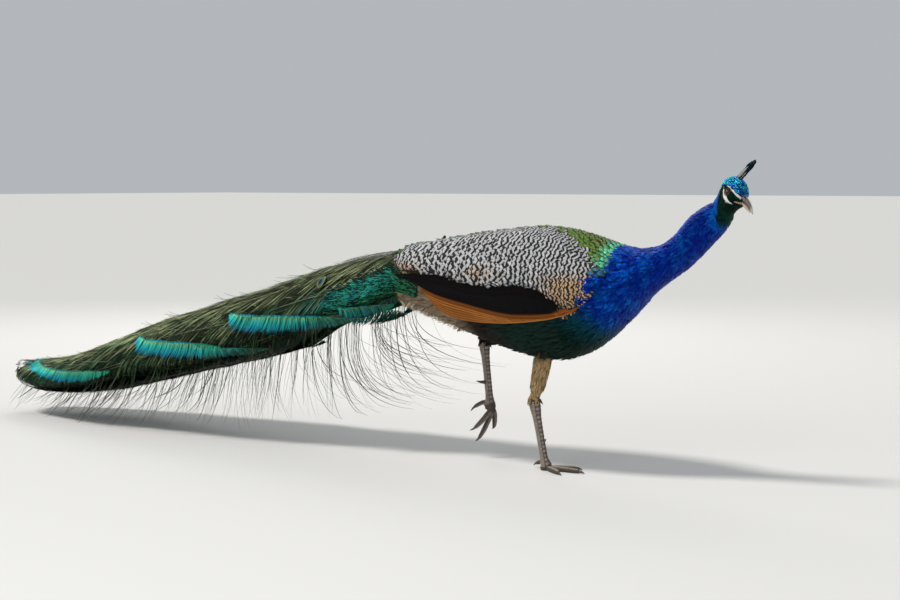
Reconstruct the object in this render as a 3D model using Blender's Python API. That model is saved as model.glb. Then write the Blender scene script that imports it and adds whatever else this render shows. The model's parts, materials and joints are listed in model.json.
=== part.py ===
"""Indian peafowl cock, walking with one foot lifted and the train laid out behind.

The bird faces +X and its own left is +Y. Lengths are metres and +Z is up. It is built round the
standing foot and then set with the middle of its bounding box's floor at the origin.
"""
import math

import bmesh
import bpy
from mathutils import Matrix, Vector

COLLECTION_NAME = "peacock"
CUTTER_COLLECTION_NAME = "cutters"

GAP = 0.0003              # clearance between neighbouring pieces
MM = 0.001

BODY_SIDES = 22           # facets round the trunk, neck and head
LIMB_SIDES = 10           # facets round a shank
TOE_SIDES = 8
CLAW_SIDES = 6

HEAD_SCALE = 1.06         # against a cock whose eye is 60 mm from the tip of the bill
HEAD_CENTRE = Vector((0.409, -0.003, 0.5545))     # midway between the eyes
HEAD_PITCH = 20.0         # degrees, bill down
HEAD_YAW = -10.0          # degrees, towards the bird's right
HEAD_ROLL = -10.0         # degrees, crown towards the bird's left
EYE_RADIUS = 7.6 * MM
EYE_OFFSET = 13.6 * MM    # eye centre from the head's middle plane

CREST_LENGTH = 0.052
CREST_LEAN = 25.0         # degrees forward of the crown's upright

WING_CLEARANCE = 0.0022   # a folded wing above the body's facets
COVERT_THICKNESS = 0.015
SECONDARY_THICKNESS = 0.011
PRIMARY_THICKNESS = 0.009

SWORD_THICKNESS = 0.006   # long side feathers with a dense web
FRINGE_THICKNESS = 0.005
FRINGE_CLEARANCE = 0.005

HOCK_RADIUS = 0.0105
SHANK_RADIUS = 0.0072
PAD_RADIUS = 0.0118
FOOT_FLARE = 0.0085       # shank radius just above the toes
TOE_RADIUS = 0.0057
SPUR_LENGTH = 0.023
SPUR_SHARE = 0.62          # its place down the shank

STANDING_FOOT = Vector((0.0, -0.020, 0.0))
STANDING_HOCK = Vector((-0.023, -0.030, 0.143))
LIFTED_FOOT = Vector((-0.191, 0.050, 0.102))
LIFTED_HOCK = Vector((-0.209, 0.050, 0.250))

# A body row is one slice: the points on the back line and on the belly line (x, z), the half
# width, and the height of the widest place as a share of the slice. The slices run from the
# rump to the top of the neck.
BODY_ROWS = (
    (-0.360, 0.444, -0.355, 0.318, 0.080, 0.50),
    (-0.270, 0.459, -0.265, 0.289, 0.093, 0.50),
    (-0.185, 0.472, -0.185, 0.262, 0.100, 0.50),
    (-0.105, 0.482, -0.105, 0.240, 0.106, 0.48),
    (-0.025, 0.489, -0.035, 0.225, 0.107, 0.46),
    (0.045, 0.485, 0.040, 0.222, 0.101, 0.45),
    (0.100, 0.474, 0.105, 0.248, 0.090, 0.45),
    (0.146, 0.460, 0.160, 0.291, 0.077, 0.46),
    (0.186, 0.451, 0.202, 0.329, 0.063, 0.48),
    (0.222, 0.450, 0.236, 0.362, 0.050, 0.50),
    (0.255, 0.456, 0.274, 0.388, 0.041, 0.50),
    (0.281, 0.471, 0.310, 0.411, 0.036, 0.50),
    (0.302, 0.492, 0.342, 0.438, 0.034, 0.50),
    (0.322, 0.513, 0.367, 0.462, 0.033, 0.50),
    (0.346, 0.529, 0.388, 0.482, 0.030, 0.50),
    (0.370, 0.540, 0.405, 0.503, 0.0240, 0.50),
)
RUMP_END, TRUNK_END, BREAST_END, LOWER_NECK_END, NECK_END = 2.4, 5.6, 8.6, 11.6, 15.0

# Head slices in the head's own frame, in millimetres: crown side (x, z), throat side (x, z), half
# width, widest place. x points along the bill, z through the crown, and the eyes lie on y.
HEAD_ROWS = (
    (-24.5, -13.0, 15.0, -34.0, 19.0, 0.50),
    (-24.8, 3.0, 19.0, -25.0, 18.0, 0.48),
    (-20.5, 20.5, 22.5, -20.0, 17.8, 0.42),
    (-6.5, 29.0, 25.0, -17.5, 17.4, 0.40),
    (10.0, 27.8, 26.5, -15.0, 15.8, 0.41),
    (21.0, 19.5, 28.0, -12.6, 12.2, 0.44),
    (25.4, 9.6, 29.2, -10.2, 7.6, 0.50),
)
UPPER_BILL_ROWS = (
    (26.2, 8.2, 28.6, -3.6, 5.9, 0.35),
    (32.5, 6.4, 33.5, -5.6, 5.2, 0.30),
    (40.5, 2.2, 40.0, -8.4, 4.4, 0.28),
    (48.0, -3.4, 46.5, -11.6, 3.1, 0.28),
    (53.6, -9.6, 51.8, -14.6, 1.9, 0.30),
    (56.2, -14.2, 55.0, -16.9, 0.9, 0.40),
    (56.7, -17.2, 56.2, -17.9, 0.35, 0.50),
)
LOWER_BILL_ROWS = (
    (28.3, -4.4, 29.8, -10.0, 5.2, 0.60),
    (34.0, -6.7, 35.0, -12.9, 4.6, 0.60),
    (40.5, -9.2, 41.0, -14.9, 3.7, 0.60),
    (46.5, -12.4, 46.5, -16.3, 2.4, 0.60),
    (50.4, -14.8, 50.0, -16.9, 1.1, 0.50),
)

# Train slices, read as the body's, from the rump to the tips.
TRAIN_ROWS = (
    (-0.360, 0.444, -0.355, 0.318, 0.083, 0.42),
    (-0.440, 0.433, -0.440, 0.282, 0.106, 0.26),
    (-0.570, 0.404, -0.570, 0.242, 0.124, 0.22),
    (-0.740, 0.352, -0.740, 0.190, 0.138, 0.20),
    (-0.920, 0.303, -0.920, 0.150, 0.146, 0.20),
    (-1.100, 0.252, -1.100, 0.112, 0.146, 0.22),
    (-1.260, 0.200, -1.260, 0.076, 0.138, 0.26),
    (-1.380, 0.160, -1.380, 0.060, 0.124, 0.32),
    (-1.480, 0.140, -1.480, 0.054, 0.104, 0.40),
    (-1.570, 0.130, -1.570, 0.055, 0.074, 0.44),
    (-1.635, 0.124, -1.620, 0.066, 0.034, 0.50),
)
TRAIN_CUTS = (0.0, 2.3, 4.5, 6.5, 10.0)

# Wing edges as heights over x: where the barred coverts end, then the black secondaries, then
# the rufous primaries. The coverts start a little below the back line, by the drop given.
COVERT_DROP = ((-0.345, 0.008), (-0.300, 0.0015), (0.030, 0.0015), (0.085, 0.010), (0.130, 0.034),
               (0.172, 0.050))
COVERT_EDGE = ((-0.345, 0.405), (-0.310, 0.387), (-0.210, 0.387), (-0.150, 0.371), (-0.080, 0.366),
               (-0.010, 0.377), (0.040, 0.364), (0.080, 0.334), (0.112, 0.327), (0.145, 0.352),
               (0.172, 0.392))
SECONDARY_EDGE = ((-0.300, 0.381), (-0.230, 0.359), (-0.145, 0.343), (-0.085, 0.330),
                  (-0.020, 0.316), (0.045, 0.319), (0.078, 0.327))
PRIMARY_EDGE = ((-0.235, 0.349), (-0.205, 0.331), (-0.165, 0.313), (-0.115, 0.300),
                (-0.040, 0.297), (0.020, 0.301), (0.070, 0.309), (0.105, 0.321))
EDGE_GAP = 0.0015
WING_STEP = 0.035         # the slices that all three layers share

# Long side feathers: x of the root and the tip, and the heights of the middle there.
SWORD_FEATHERS = (
    (-0.510, -0.785, 0.279, 0.268),
    (-0.790, -1.080, 0.205, 0.200),
    (-1.150, -1.560, 0.128, 0.112),
)
SWORD_HALF_WIDTH = 0.012

# Lowest height of the hanging barbs over x.
FRINGE_EDGE = ((-0.370, 0.190), (-0.430, 0.125), (-0.510, 0.078), (-0.640, 0.044), (-0.800, 0.020),
               (-0.920, 0.004), (-0.980, 0.0), (-1.300, 0.0), (-1.360, 0.012))
FRINGE_REACH = 0.72       # its place across the train's half width

# Front toes of a left foot: name, spread in degrees (left is positive), length.
TOES = (("inner", -34.0, 0.046), ("middle", -2.0, 0.064), ("outer", 33.0, 0.052))
TOE_START = 0.0138
TOE_CURL = 3.0            # degrees at each joint of the lifted foot
CLAW_LENGTH = 0.0135
HALLUX_LENGTH = 0.025
HALLUX_SPREAD = -158.0
HALLUX_HEIGHT = 0.0165
HALLUX_START = 0.0116
HALLUX_DROP = 16.0        # degrees below level
LIFTED_PITCH = 112.0      # degrees that the hanging foot is turned down
LIFTED_TUCK = 0.0098      # how far the hanging toes are drawn up to the end of the shank

COLOURS = {
    "blue": ((0.012, 0.055, 0.42), 0.38),
    "violet_blue": ((0.018, 0.030, 0.26), 0.42),
    "green_black": ((0.008, 0.040, 0.034), 0.50),
    "mantle_green": ((0.070, 0.150, 0.040), 0.45),
    "train_green": ((0.050, 0.095, 0.030), 0.55),
    "turquoise": ((0.010, 0.200, 0.180), 0.40),
    "brown": ((0.100, 0.070, 0.045), 0.80),
    "barred": ((0.330, 0.300, 0.250), 0.75),
    "black": ((0.010, 0.010, 0.012), 0.60),
    "rufous": ((0.380, 0.150, 0.045), 0.65),
    "buff": ((0.450, 0.340, 0.210), 0.80),
    "scales": ((0.190, 0.150, 0.120), 0.60),
    "horn": ((0.250, 0.210, 0.170), 0.45),
    "eye": ((0.030, 0.012, 0.008), 0.08),
    "crest": ((0.020, 0.090, 0.120), 0.55),
}


def clear_scene():
    for item in list(bpy.data.objects):
        bpy.data.objects.remove(item, do_unlink=True)


def make_collection(name, hidden=False):
    group = bpy.data.collections.new(name)
    group.hide_render = hidden
    bpy.context.scene.collection.children.link(group)
    return group


def make_materials():
    made = {}
    for name, (colour, roughness) in COLOURS.items():
        material = bpy.data.materials.new(name)
        material.use_nodes = True
        shader = material.node_tree.nodes["Principled BSDF"]
        shader.inputs["Base Color"].default_value = (*colour, 1.0)
        shader.inputs["Roughness"].default_value = roughness
        shader.inputs["Metallic"].default_value = 0.0
        made[name] = material
    return made


class Model:
    """The collections, the materials and the empty that carries every piece."""

    def __init__(self):
        self.pieces = make_collection(COLLECTION_NAME)
        self.cutters = make_collection(CUTTER_COLLECTION_NAME, hidden=True)
        self.materials = make_materials()
        self.frame = bpy.data.objects.new("peacock_frame", None)
        self.pieces.objects.link(self.frame)

    def add(self, name, mesh, material):
        item = bpy.data.objects.new(name, mesh)
        item.parent = self.frame
        mesh.materials.append(self.materials[material])
        mesh.shade_smooth()
        self.pieces.objects.link(item)
        return item

    def add_cutter(self, name, mesh):
        item = bpy.data.objects.new(name, mesh)
        item.parent = self.frame
        item.hide_render = True
        item.display_type = "WIRE"
        self.cutters.objects.link(item)
        return item


def cut(item, cutter):
    """Takes the cutter's shape out of an item, by an exact Boolean."""
    modifier = item.modifiers.new("cut_" + cutter.name, "BOOLEAN")
    modifier.operation = "DIFFERENCE"
    modifier.solver = "EXACT"
    modifier.object = cutter


def finish_mesh(name, shape):
    bmesh.ops.recalc_face_normals(shape, faces=shape.faces)
    mesh = bpy.data.meshes.new(name)
    shape.to_mesh(mesh)
    shape.free()
    return mesh


def loft_mesh(name, rings):
    """A closed body through rings of equal point counts, with flat caps."""
    shape = bmesh.new()
    loops = [[shape.verts.new(point) for point in ring] for ring in rings]
    count = len(loops[0])
    for first, second in zip(loops, loops[1:]):
        for index in range(count):
            after = (index + 1) % count
            shape.faces.new((first[index], first[after], second[after], second[index]))
    shape.faces.new(loops[0])
    shape.faces.new(loops[-1])
    return finish_mesh(name, shape)


def ball_mesh(name, centre, radius, segments=12, rings=7):
    shape = bmesh.new()
    bmesh.ops.create_uvsphere(shape, u_segments=segments, v_segments=rings, radius=radius)
    bmesh.ops.translate(shape, verts=shape.verts, vec=centre)
    return finish_mesh(name, shape)


def spline_row(rows, place):
    """One slice at a place along the rows, by a Catmull-Rom curve through each number."""
    last = len(rows) - 1
    index = min(int(place), last - 1)
    share = place - index
    before, first = rows[max(index - 1, 0)], rows[index]
    second, after = rows[index + 1], rows[min(index + 2, last)]
    values = []
    for a, b, c, d in zip(before, first, second, after):
        bend = 2 * a - 5 * b + 4 * c - d
        values.append(0.5 * (2 * b + (c - a) * share + bend * share ** 2
                             + (3 * b - a - 3 * c + d) * share ** 3))
    return values


def straight_line(points, x):
    """The height at x on the straight stretches between the points, which run up in x."""
    for (x0, z0), (x1, z1) in zip(points, points[1:]):
        if x <= x1:
            share = max(0.0, (x - x0) / (x1 - x0))
            return z0 + (z1 - z0) * share
    return points[-1][1]


def slice_frame(row):
    back = Vector((row[0], 0.0, row[1]))
    belly = Vector((row[2], 0.0, row[3]))
    height = (back - belly).length
    upright = (back - belly) / height
    return belly + upright * height * row[5], upright, height


def slice_point(row, angle, grow=0.0):
    """A point of a slice: angle 0 is the back line, and positive angles go to the left."""
    centre, upright, height = slice_frame(row)
    share = 1.0 - row[5] if math.cos(angle) >= 0.0 else row[5]
    rise = (height * share + grow) * math.cos(angle)
    return centre + upright * rise + Vector((0.0, (row[4] + grow) * math.sin(angle), 0.0))


def slice_ring(row, sides, grow=0.0):
    return [slice_point(row, 2 * math.pi * index / sides, grow) for index in range(sides)]


def slice_normal(row):
    upright = slice_frame(row)[1]
    return Vector((upright.z, 0.0, -upright.x))


def places_between(start, stop, step):
    """Whole steps between two places, and the two places themselves."""
    first = math.floor(start / step) + 1
    places = [start]
    places += [index * step for index in range(first, math.ceil(stop / step))
               if index * step - start > step / 4 and stop - index * step > step / 4]
    return places + [stop]


def trunk_rings(rows, start, stop, step, grow=0.0, gap=0.0):
    """Rings from start to stop, the first moved on by the gap along its own normal."""
    rings = []
    for place in places_between(start, stop, step):
        row = spline_row(rows, place)
        shift = slice_normal(row) * gap if place == start else Vector()
        rings.append([point + shift for point in slice_ring(row, BODY_SIDES, grow)])
    return rings


def place_at_x(rows, x):
    """Where along the rows the slice's centre stands at x."""
    rising = rows[0][0] < rows[-1][0]
    low, high = 0.0, len(rows) - 1.0
    for _ in range(40):
        middle = (low + high) / 2
        centre = slice_frame(spline_row(rows, middle))[0].x
        if (centre < x) == rising:
            low = middle
        else:
            high = middle
    return (low + high) / 2


def angle_at_height(row, height, grow):
    """The angle from the back line where one side of a slice is at a height."""
    low, high = 0.0, math.pi
    for _ in range(40):
        middle = (low + high) / 2
        if slice_point(row, middle, grow).z > height:
            low = middle
        else:
            high = middle
    return (low + high) / 2


def tube_rings(points, radii, sides, side_hint, floor=None):
    """Rings square to a path; each radius is (across, deep)."""
    rings = []
    for index, point in enumerate(points):
        ahead = points[min(index + 1, len(points) - 1)]
        behind = points[max(index - 1, 0)]
        along = (ahead - behind).normalized()
        across = (side_hint - along * side_hint.dot(along)).normalized()
        deep = along.cross(across)
        wide, thick = radii[index]
        ring = []
        for step in range(sides):
            angle = 2 * math.pi * (step + 0.5) / sides
            place = point + across * wide * math.cos(angle) + deep * thick * math.sin(angle)
            if floor is not None:
                place.z = max(place.z, floor)
            ring.append(place)
        rings.append(ring)
    return rings


def turned(x_degrees, y_degrees, z_degrees):
    return (Matrix.Rotation(math.radians(z_degrees), 3, "Z")
            @ Matrix.Rotation(math.radians(y_degrees), 3, "Y")
            @ Matrix.Rotation(math.radians(x_degrees), 3, "X"))


HEAD_TURN = turned(HEAD_ROLL, HEAD_PITCH, HEAD_YAW)


def head_place(x, y, z):
    """A point given in the head's own millimetres."""
    return HEAD_CENTRE + HEAD_TURN @ (Vector((x, y, z)) * HEAD_SCALE * MM)


def head_ring(row, sides, grow=0.0):
    return [head_place(*point) for point in slice_ring(row, sides, grow / (HEAD_SCALE * MM))]


def build_body(model):
    lengths = (("rump", 0.0, RUMP_END, "brown"), ("trunk", RUMP_END, TRUNK_END, "green_black"),
               ("breast", TRUNK_END, BREAST_END, "blue"),
               ("neck_lower", BREAST_END, LOWER_NECK_END, "blue"),
               ("neck_upper", LOWER_NECK_END, NECK_END, "violet_blue"))
    for name, start, stop, material in lengths:
        gap = GAP if start else 0.0
        model.add(name, loft_mesh(name, trunk_rings(BODY_ROWS, start, stop, 0.5, gap=gap)), material)
    return model.add_cutter("body_clearance",
                            loft_mesh("body_clearance",
                                      trunk_rings(BODY_ROWS, 0.0, NECK_END, 0.5, grow=GAP)))


def build_head(model):
    neck_end = spline_row(BODY_ROWS, NECK_END)
    joint = [point + slice_normal(neck_end) * GAP for point in slice_ring(neck_end, BODY_SIDES)]
    steps = [spline_row(HEAD_ROWS, place / 2) for place in range(2 * len(HEAD_ROWS) - 1)]
    head = model.add("head", loft_mesh("head", [joint] + [head_ring(row, BODY_SIDES)
                                                          for row in steps]), "blue")
    for side, sign in (("R", -1.0), ("L", 1.0)):
        centre = HEAD_CENTRE + HEAD_TURN @ Vector((0.0, sign * EYE_OFFSET, 0.0))
        model.add("eye_" + side, ball_mesh("eye_" + side, centre, EYE_RADIUS), "eye")
        cut(head, model.add_cutter("socket_" + side,
                                   ball_mesh("socket_" + side, centre, EYE_RADIUS + GAP)))
    for name, rows in (("bill_upper", UPPER_BILL_ROWS), ("bill_lower", LOWER_BILL_ROWS)):
        model.add(name, loft_mesh(name, [head_ring(row, 12) for row in rows]), "horn")
    clearance = [head_ring(row, BODY_SIDES, GAP) for row in steps]
    return model.add_cutter("head_clearance", loft_mesh("head_clearance", clearance))


def build_crest(model, head_clearance):
    """A narrow fan of shafts with broad tips, as one thin body."""
    lean = math.radians(CREST_LEAN)
    along = Vector((math.sin(lean), 0.0, math.cos(lean)))
    forward = Vector((math.cos(lean), 0.0, -math.sin(lean)))
    root = Vector((-2.5, 0.0, 25.5)) * HEAD_SCALE * MM
    rings = []
    for share, wide, thick in ((0.0, 7.5, 2.4), (0.35, 7.0, 2.0), (0.66, 7.2, 2.2), (0.80, 9.0, 3.0),
                               (0.93, 8.6, 3.0), (1.0, 5.5, 1.6)):
        ring = []
        for step in range(10):
            angle = 2 * math.pi * step / 10
            place = root + along * share * CREST_LENGTH
            place += forward * wide * MM * math.cos(angle)
            place += Vector((0.0, thick * MM * math.sin(angle), 0.0))
            ring.append(HEAD_CENTRE + HEAD_TURN @ place)
        rings.append(ring)
    cut(model.add("crest", loft_mesh("crest", rings), "crest"), head_clearance)


def panel_rings(rows, xs, upper, lower, lift, thickness, side, steps):
    """Rings of a curved slab that lies on the side of the slices between two heights.

    upper and lower give the edge heights at x. The slab thins towards its edges and ends.
    """
    rings = []
    for index, x in enumerate(xs):
        row = spline_row(rows, place_at_x(rows, x))
        grow = lift + thickness / 2
        high = angle_at_height(row, upper(x), grow)
        low = max(angle_at_height(row, lower(x), grow), high + 0.02)
        end = max(0.0, math.sin(math.pi * index / (len(xs) - 1))) ** 0.5
        outer, inner = [], []
        for step in range(steps + 1):
            share = step / steps
            angle = side * (high + (low - high) * share)
            body = (0.22 + 0.78 * math.sin(math.pi * share) ** 0.6) * (0.22 + 0.78 * end)
            outer.append(slice_point(row, angle, lift + thickness * body))
            inner.append(slice_point(row, angle, lift))
        rings.append(outer + inner[::-1])
    return rings


def even_steps(start, stop, count):
    return [start + (stop - start) * index / (count - 1) for index in range(count)]


def build_wings(model):
    def back_line(x):
        drop = straight_line(COVERT_DROP, x)
        return slice_point(spline_row(BODY_ROWS, place_at_x(BODY_ROWS, x)), 0.0).z - drop

    def edge(points, gap=0.0):
        return lambda x: straight_line(points, x) - gap

    layers = (
        ("wing_coverts", COVERT_EDGE, back_line, edge(COVERT_EDGE), COVERT_THICKNESS, "barred"),
        ("wing_secondaries", SECONDARY_EDGE, edge(COVERT_EDGE, EDGE_GAP), edge(SECONDARY_EDGE),
         SECONDARY_THICKNESS, "black"),
        ("wing_primaries", PRIMARY_EDGE, edge(SECONDARY_EDGE, EDGE_GAP), edge(PRIMARY_EDGE),
         PRIMARY_THICKNESS, "rufous"),
    )
    for side, sign in (("R", -1.0), ("L", 1.0)):
        for name, span, upper, lower, thickness, material in layers:
            xs = places_between(span[0][0], span[-1][0], WING_STEP)
            rings = panel_rings(BODY_ROWS, xs, upper, lower, WING_CLEARANCE, thickness, sign, 6)
            model.add(name + "_" + side, loft_mesh(name, rings), material)


def build_train(model):
    for index, (start, stop) in enumerate(zip(TRAIN_CUTS, TRAIN_CUTS[1:])):
        name = "train_%d" % (index + 1)
        rings = trunk_rings(TRAIN_ROWS, start, stop, 0.5, gap=-GAP)
        model.add(name, loft_mesh(name, rings), "train_green")


def build_sword_feathers(model):
    for side, sign in (("R", -1.0), ("L", 1.0)):
        for index, (root, tip, root_height, tip_height) in enumerate(SWORD_FEATHERS):
            def middle(x):
                share = (x - root) / (tip - root)
                return root_height + (tip_height - root_height) * share

            name = "sword_feather_%d_%s" % (index + 1, side)
            xs = even_steps(tip, root, 9)
            rings = panel_rings(TRAIN_ROWS, xs, lambda x: middle(x) + SWORD_HALF_WIDTH,
                                lambda x: middle(x) - SWORD_HALF_WIDTH, WING_CLEARANCE,
                                SWORD_THICKNESS, sign, 4)
            model.add(name, loft_mesh(name, rings), "turquoise")


def build_fringe(model):
    """The curtain of loose barbs below each edge of the train."""
    reach = math.asin(FRINGE_REACH)
    for side, sign in (("R", -1.0), ("L", 1.0)):
        rings = []
        for x in even_steps(FRINGE_EDGE[-1][0], FRINGE_EDGE[0][0], 16):
            row = spline_row(TRAIN_ROWS, place_at_x(TRAIN_ROWS, x))
            top = slice_point(row, sign * (math.pi - reach))
            top.z -= FRINGE_CLEARANCE
            low = Vector((x, top.y * 1.06, straight_line(FRINGE_EDGE[::-1], x)))
            across = Vector((0.0, FRINGE_THICKNESS / 2, 0.0))
            middle = (top + low) / 2
            rings.append([top + across, middle + across, low + across / 2,
                          low - across / 2, middle - across, top - across])
        model.add("fringe_" + side, loft_mesh("fringe_" + side, rings), "train_green")


def toe_path(start, spread, length, drop, curl, joints=5):
    """Points along a toe in the foot's own frame, with the headings at its tip."""
    heading = math.radians(spread)
    pitch = math.radians(drop)
    points = [start]
    for _ in range(joints):
        step = Vector((math.cos(pitch) * math.cos(heading), math.cos(pitch) * math.sin(heading),
                       -math.sin(pitch)))
        points.append(points[-1] + step * length / joints)
        pitch += math.radians(curl)
    return points, heading, pitch


def claw_path(start, heading, pitch, length, hook):
    points = [start]
    for _ in range(4):
        step = Vector((math.cos(pitch) * math.cos(heading), math.cos(pitch) * math.sin(heading),
                       -math.sin(pitch)))
        points.append(points[-1] + step * length / 4)
        pitch += math.radians(hook)
    return points


def build_foot(model, side, front_place, back_place, curl, floor):
    """Four toes and their claws; the places carry the foot's own frame to the bird's."""
    mirror = 1.0 if side == "L" else -1.0

    def tube(place, name, points, radii, sides, material, heading):
        hint = place.to_3x3() @ Vector((-math.sin(heading), math.cos(heading), 0.0))
        rings = tube_rings([place @ point for point in points], radii, sides, hint, floor)
        model.add(name, loft_mesh(name, rings), material)

    toes = [(name, front_place, mirror * spread, length, TOE_START, TOE_RADIUS * 0.80, 0.0, 1.0)
            for name, spread, length in TOES]
    toes.append(("hallux", back_place, mirror * HALLUX_SPREAD, HALLUX_LENGTH, HALLUX_START,
                 HALLUX_HEIGHT, HALLUX_DROP, 0.80))
    for name, place, spread, length, distance, height, drop, size in toes:
        angle = math.radians(spread)
        start = Vector((math.cos(angle) * distance, math.sin(angle) * distance, height))
        points, heading, pitch = toe_path(start, spread, length, drop, curl)
        radii = [(TOE_RADIUS * size * wide, TOE_RADIUS * size * thick) for wide, thick
                 in ((0.70, 0.90), (0.98, 1.0), (0.88, 0.92), (0.92, 0.92), (0.78, 0.82), (0.60, 0.66))]
        tube(place, "toe_%s_%s" % (name, side), points, radii, TOE_SIDES, "scales", heading)
        ahead = Vector((math.cos(heading), math.sin(heading), 0.0)) * math.cos(pitch)
        ahead.z = -math.sin(pitch)
        claw = claw_path(points[-1] + ahead * 2 * GAP, heading, pitch + math.radians(4), CLAW_LENGTH
                         * (0.6 + 0.4 * size), 7.0)
        radii = [(TOE_RADIUS * size * share * 0.85, TOE_RADIUS * size * share)
                 for share in (0.56, 0.50, 0.40, 0.26, 0.09)]
        tube(place, "claw_%s_%s" % (name, side), claw, radii, CLAW_SIDES, "horn", heading)


def build_shank(model, side, hock, foot, sole, floor):
    """The bare shank from the hock to the sole, with its spur; returns the shank's clearance."""
    sign = 1.0 if side == "L" else -1.0
    length = (foot - hock).length
    along = (foot - hock) / length
    stops = ((0.0, 0.62, 0.80), (0.05, 1.0, 1.12), (0.13, 0.96, 1.06), (0.26, 0.74, 0.82))
    points = [hock + along * length * share for share, _, _ in stops]
    radii = [(HOCK_RADIUS * wide, HOCK_RADIUS * deep) for _, wide, deep in stops]
    for share in (0.45, 0.62, 0.78):
        points.append(hock + along * length * share)
        radii.append((SHANK_RADIUS * 0.94, SHANK_RADIUS * 1.08))
    points.append(hock + along * (length - 0.021))
    radii.append((FOOT_FLARE, FOOT_FLARE))
    for height, radius in ((0.0125, PAD_RADIUS * 0.90), (0.006, PAD_RADIUS), (0.0, PAD_RADIUS * 0.9)):
        points.append(foot - sole * height)
        radii.append((radius, radius))
    rings = tube_rings(points, radii, LIMB_SIDES, Vector((0.0, 1.0, 0.0)), floor)
    model.add("shank_" + side, loft_mesh("shank_" + side, rings), "scales")
    grown = [(wide + GAP, deep + GAP) for wide, deep in radii]
    rings = tube_rings([points[0] - along * GAP] + points[1:], grown, LIMB_SIDES,
                       Vector((0.0, 1.0, 0.0)))
    clearance = model.add_cutter("shank_clearance_" + side, loft_mesh("shank_clearance", rings))

    spur_root = hock + along * length * SPUR_SHARE
    outward = (Vector((-0.30, 0.0, 0.0)) + Vector((0.0, -sign, 0.0))).normalized()
    start = spur_root + outward * (SHANK_RADIUS * 1.08 + 2 * GAP)
    spur = [start + outward * SPUR_LENGTH * share + Vector((0.0, 0.0, 0.004)) * share ** 2
            for share in (0.0, 0.3, 0.6, 0.85, 1.0)]
    radii = [(0.0045 * share, 0.0045 * share) for share in (1.0, 0.80, 0.54, 0.28, 0.09)]
    rings = tube_rings(spur, radii, TOE_SIDES, Vector((0.0, 0.0, 1.0)))
    model.add("spur_" + side, loft_mesh("spur_" + side, rings), "horn")
    return clearance


def build_thigh(model, side, points, radii, clearances):
    rings = tube_rings([Vector(point) for point in points], radii, 14, Vector((0.0, 1.0, 0.0)))
    thigh = model.add("thigh_" + side, loft_mesh("thigh_" + side, rings), "buff")
    for clearance in clearances:
        cut(thigh, clearance)


def build_legs(model, body_clearance):
    sole = Vector((0.0, 0.0, -1.0))
    shank_clearance = build_shank(model, "R", STANDING_HOCK, STANDING_FOOT, sole, 0.0)
    build_thigh(model, "R", ((0.016, -0.046, 0.272), (0.008, -0.041, 0.232), (-0.003, -0.036, 0.197),
                             (-0.014, -0.032, 0.166), (-0.0225, -0.0300, 0.140)),
                ((0.022, 0.026), (0.0165, 0.0205), (0.0150, 0.0185), (0.0130, 0.0160),
                 (0.0045, 0.0050)), (body_clearance, shank_clearance))
    standing = Matrix.Translation(STANDING_FOOT)
    build_foot(model, "R", standing, standing, 0.0, 0.0)

    sole = (LIFTED_FOOT - LIFTED_HOCK).normalized()
    shank_clearance = build_shank(model, "L", LIFTED_HOCK, LIFTED_FOOT, sole, None)
    build_thigh(model, "L", ((-0.110, 0.056, 0.290), (-0.140, 0.054, 0.272), (-0.168, 0.052, 0.257),
                             (-0.190, 0.050, 0.250), (-0.2085, 0.050, 0.245)),
                ((0.024, 0.028), (0.0185, 0.0220), (0.0150, 0.0185), (0.0125, 0.0145),
                 (0.0045, 0.0050)), (body_clearance, shank_clearance))
    lifted = Matrix.Translation(LIFTED_FOOT)
    hanging = turned(0.0, LIFTED_PITCH, 0.0).to_4x4() @ Matrix.Translation((-LIFTED_TUCK, 0.0, 0.0))
    upright = Vector((0.0, 0.0, 1.0)).rotation_difference(-sole).to_matrix().to_4x4()
    build_foot(model, "L", lifted @ hanging, lifted @ upright, TOE_CURL, None)


def set_origin(model):
    """Moves the carrying empty so that the box's floor is centred on the origin."""
    corners = [vertex.co for item in model.pieces.objects if item.type == "MESH"
               for vertex in item.data.vertices]
    middle = [(min(corner[axis] for corner in corners) + max(corner[axis] for corner in corners)) / 2
              for axis in (0, 1)]
    model.frame.location = (-middle[0], -middle[1], 0.0)


def main():
    clear_scene()
    model = Model()
    body_clearance = build_body(model)
    head_clearance = build_head(model)
    build_crest(model, head_clearance)
    build_wings(model)
    build_train(model)
    build_sword_feathers(model)
    build_fringe(model)
    build_legs(model, body_clearance)
    set_origin(model)


main()
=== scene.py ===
import json
import math

import bmesh
import bpy
import numpy as np
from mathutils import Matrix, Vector
from mathutils.bvhtree import BVHTree
from mathutils.kdtree import KDTree

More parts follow.
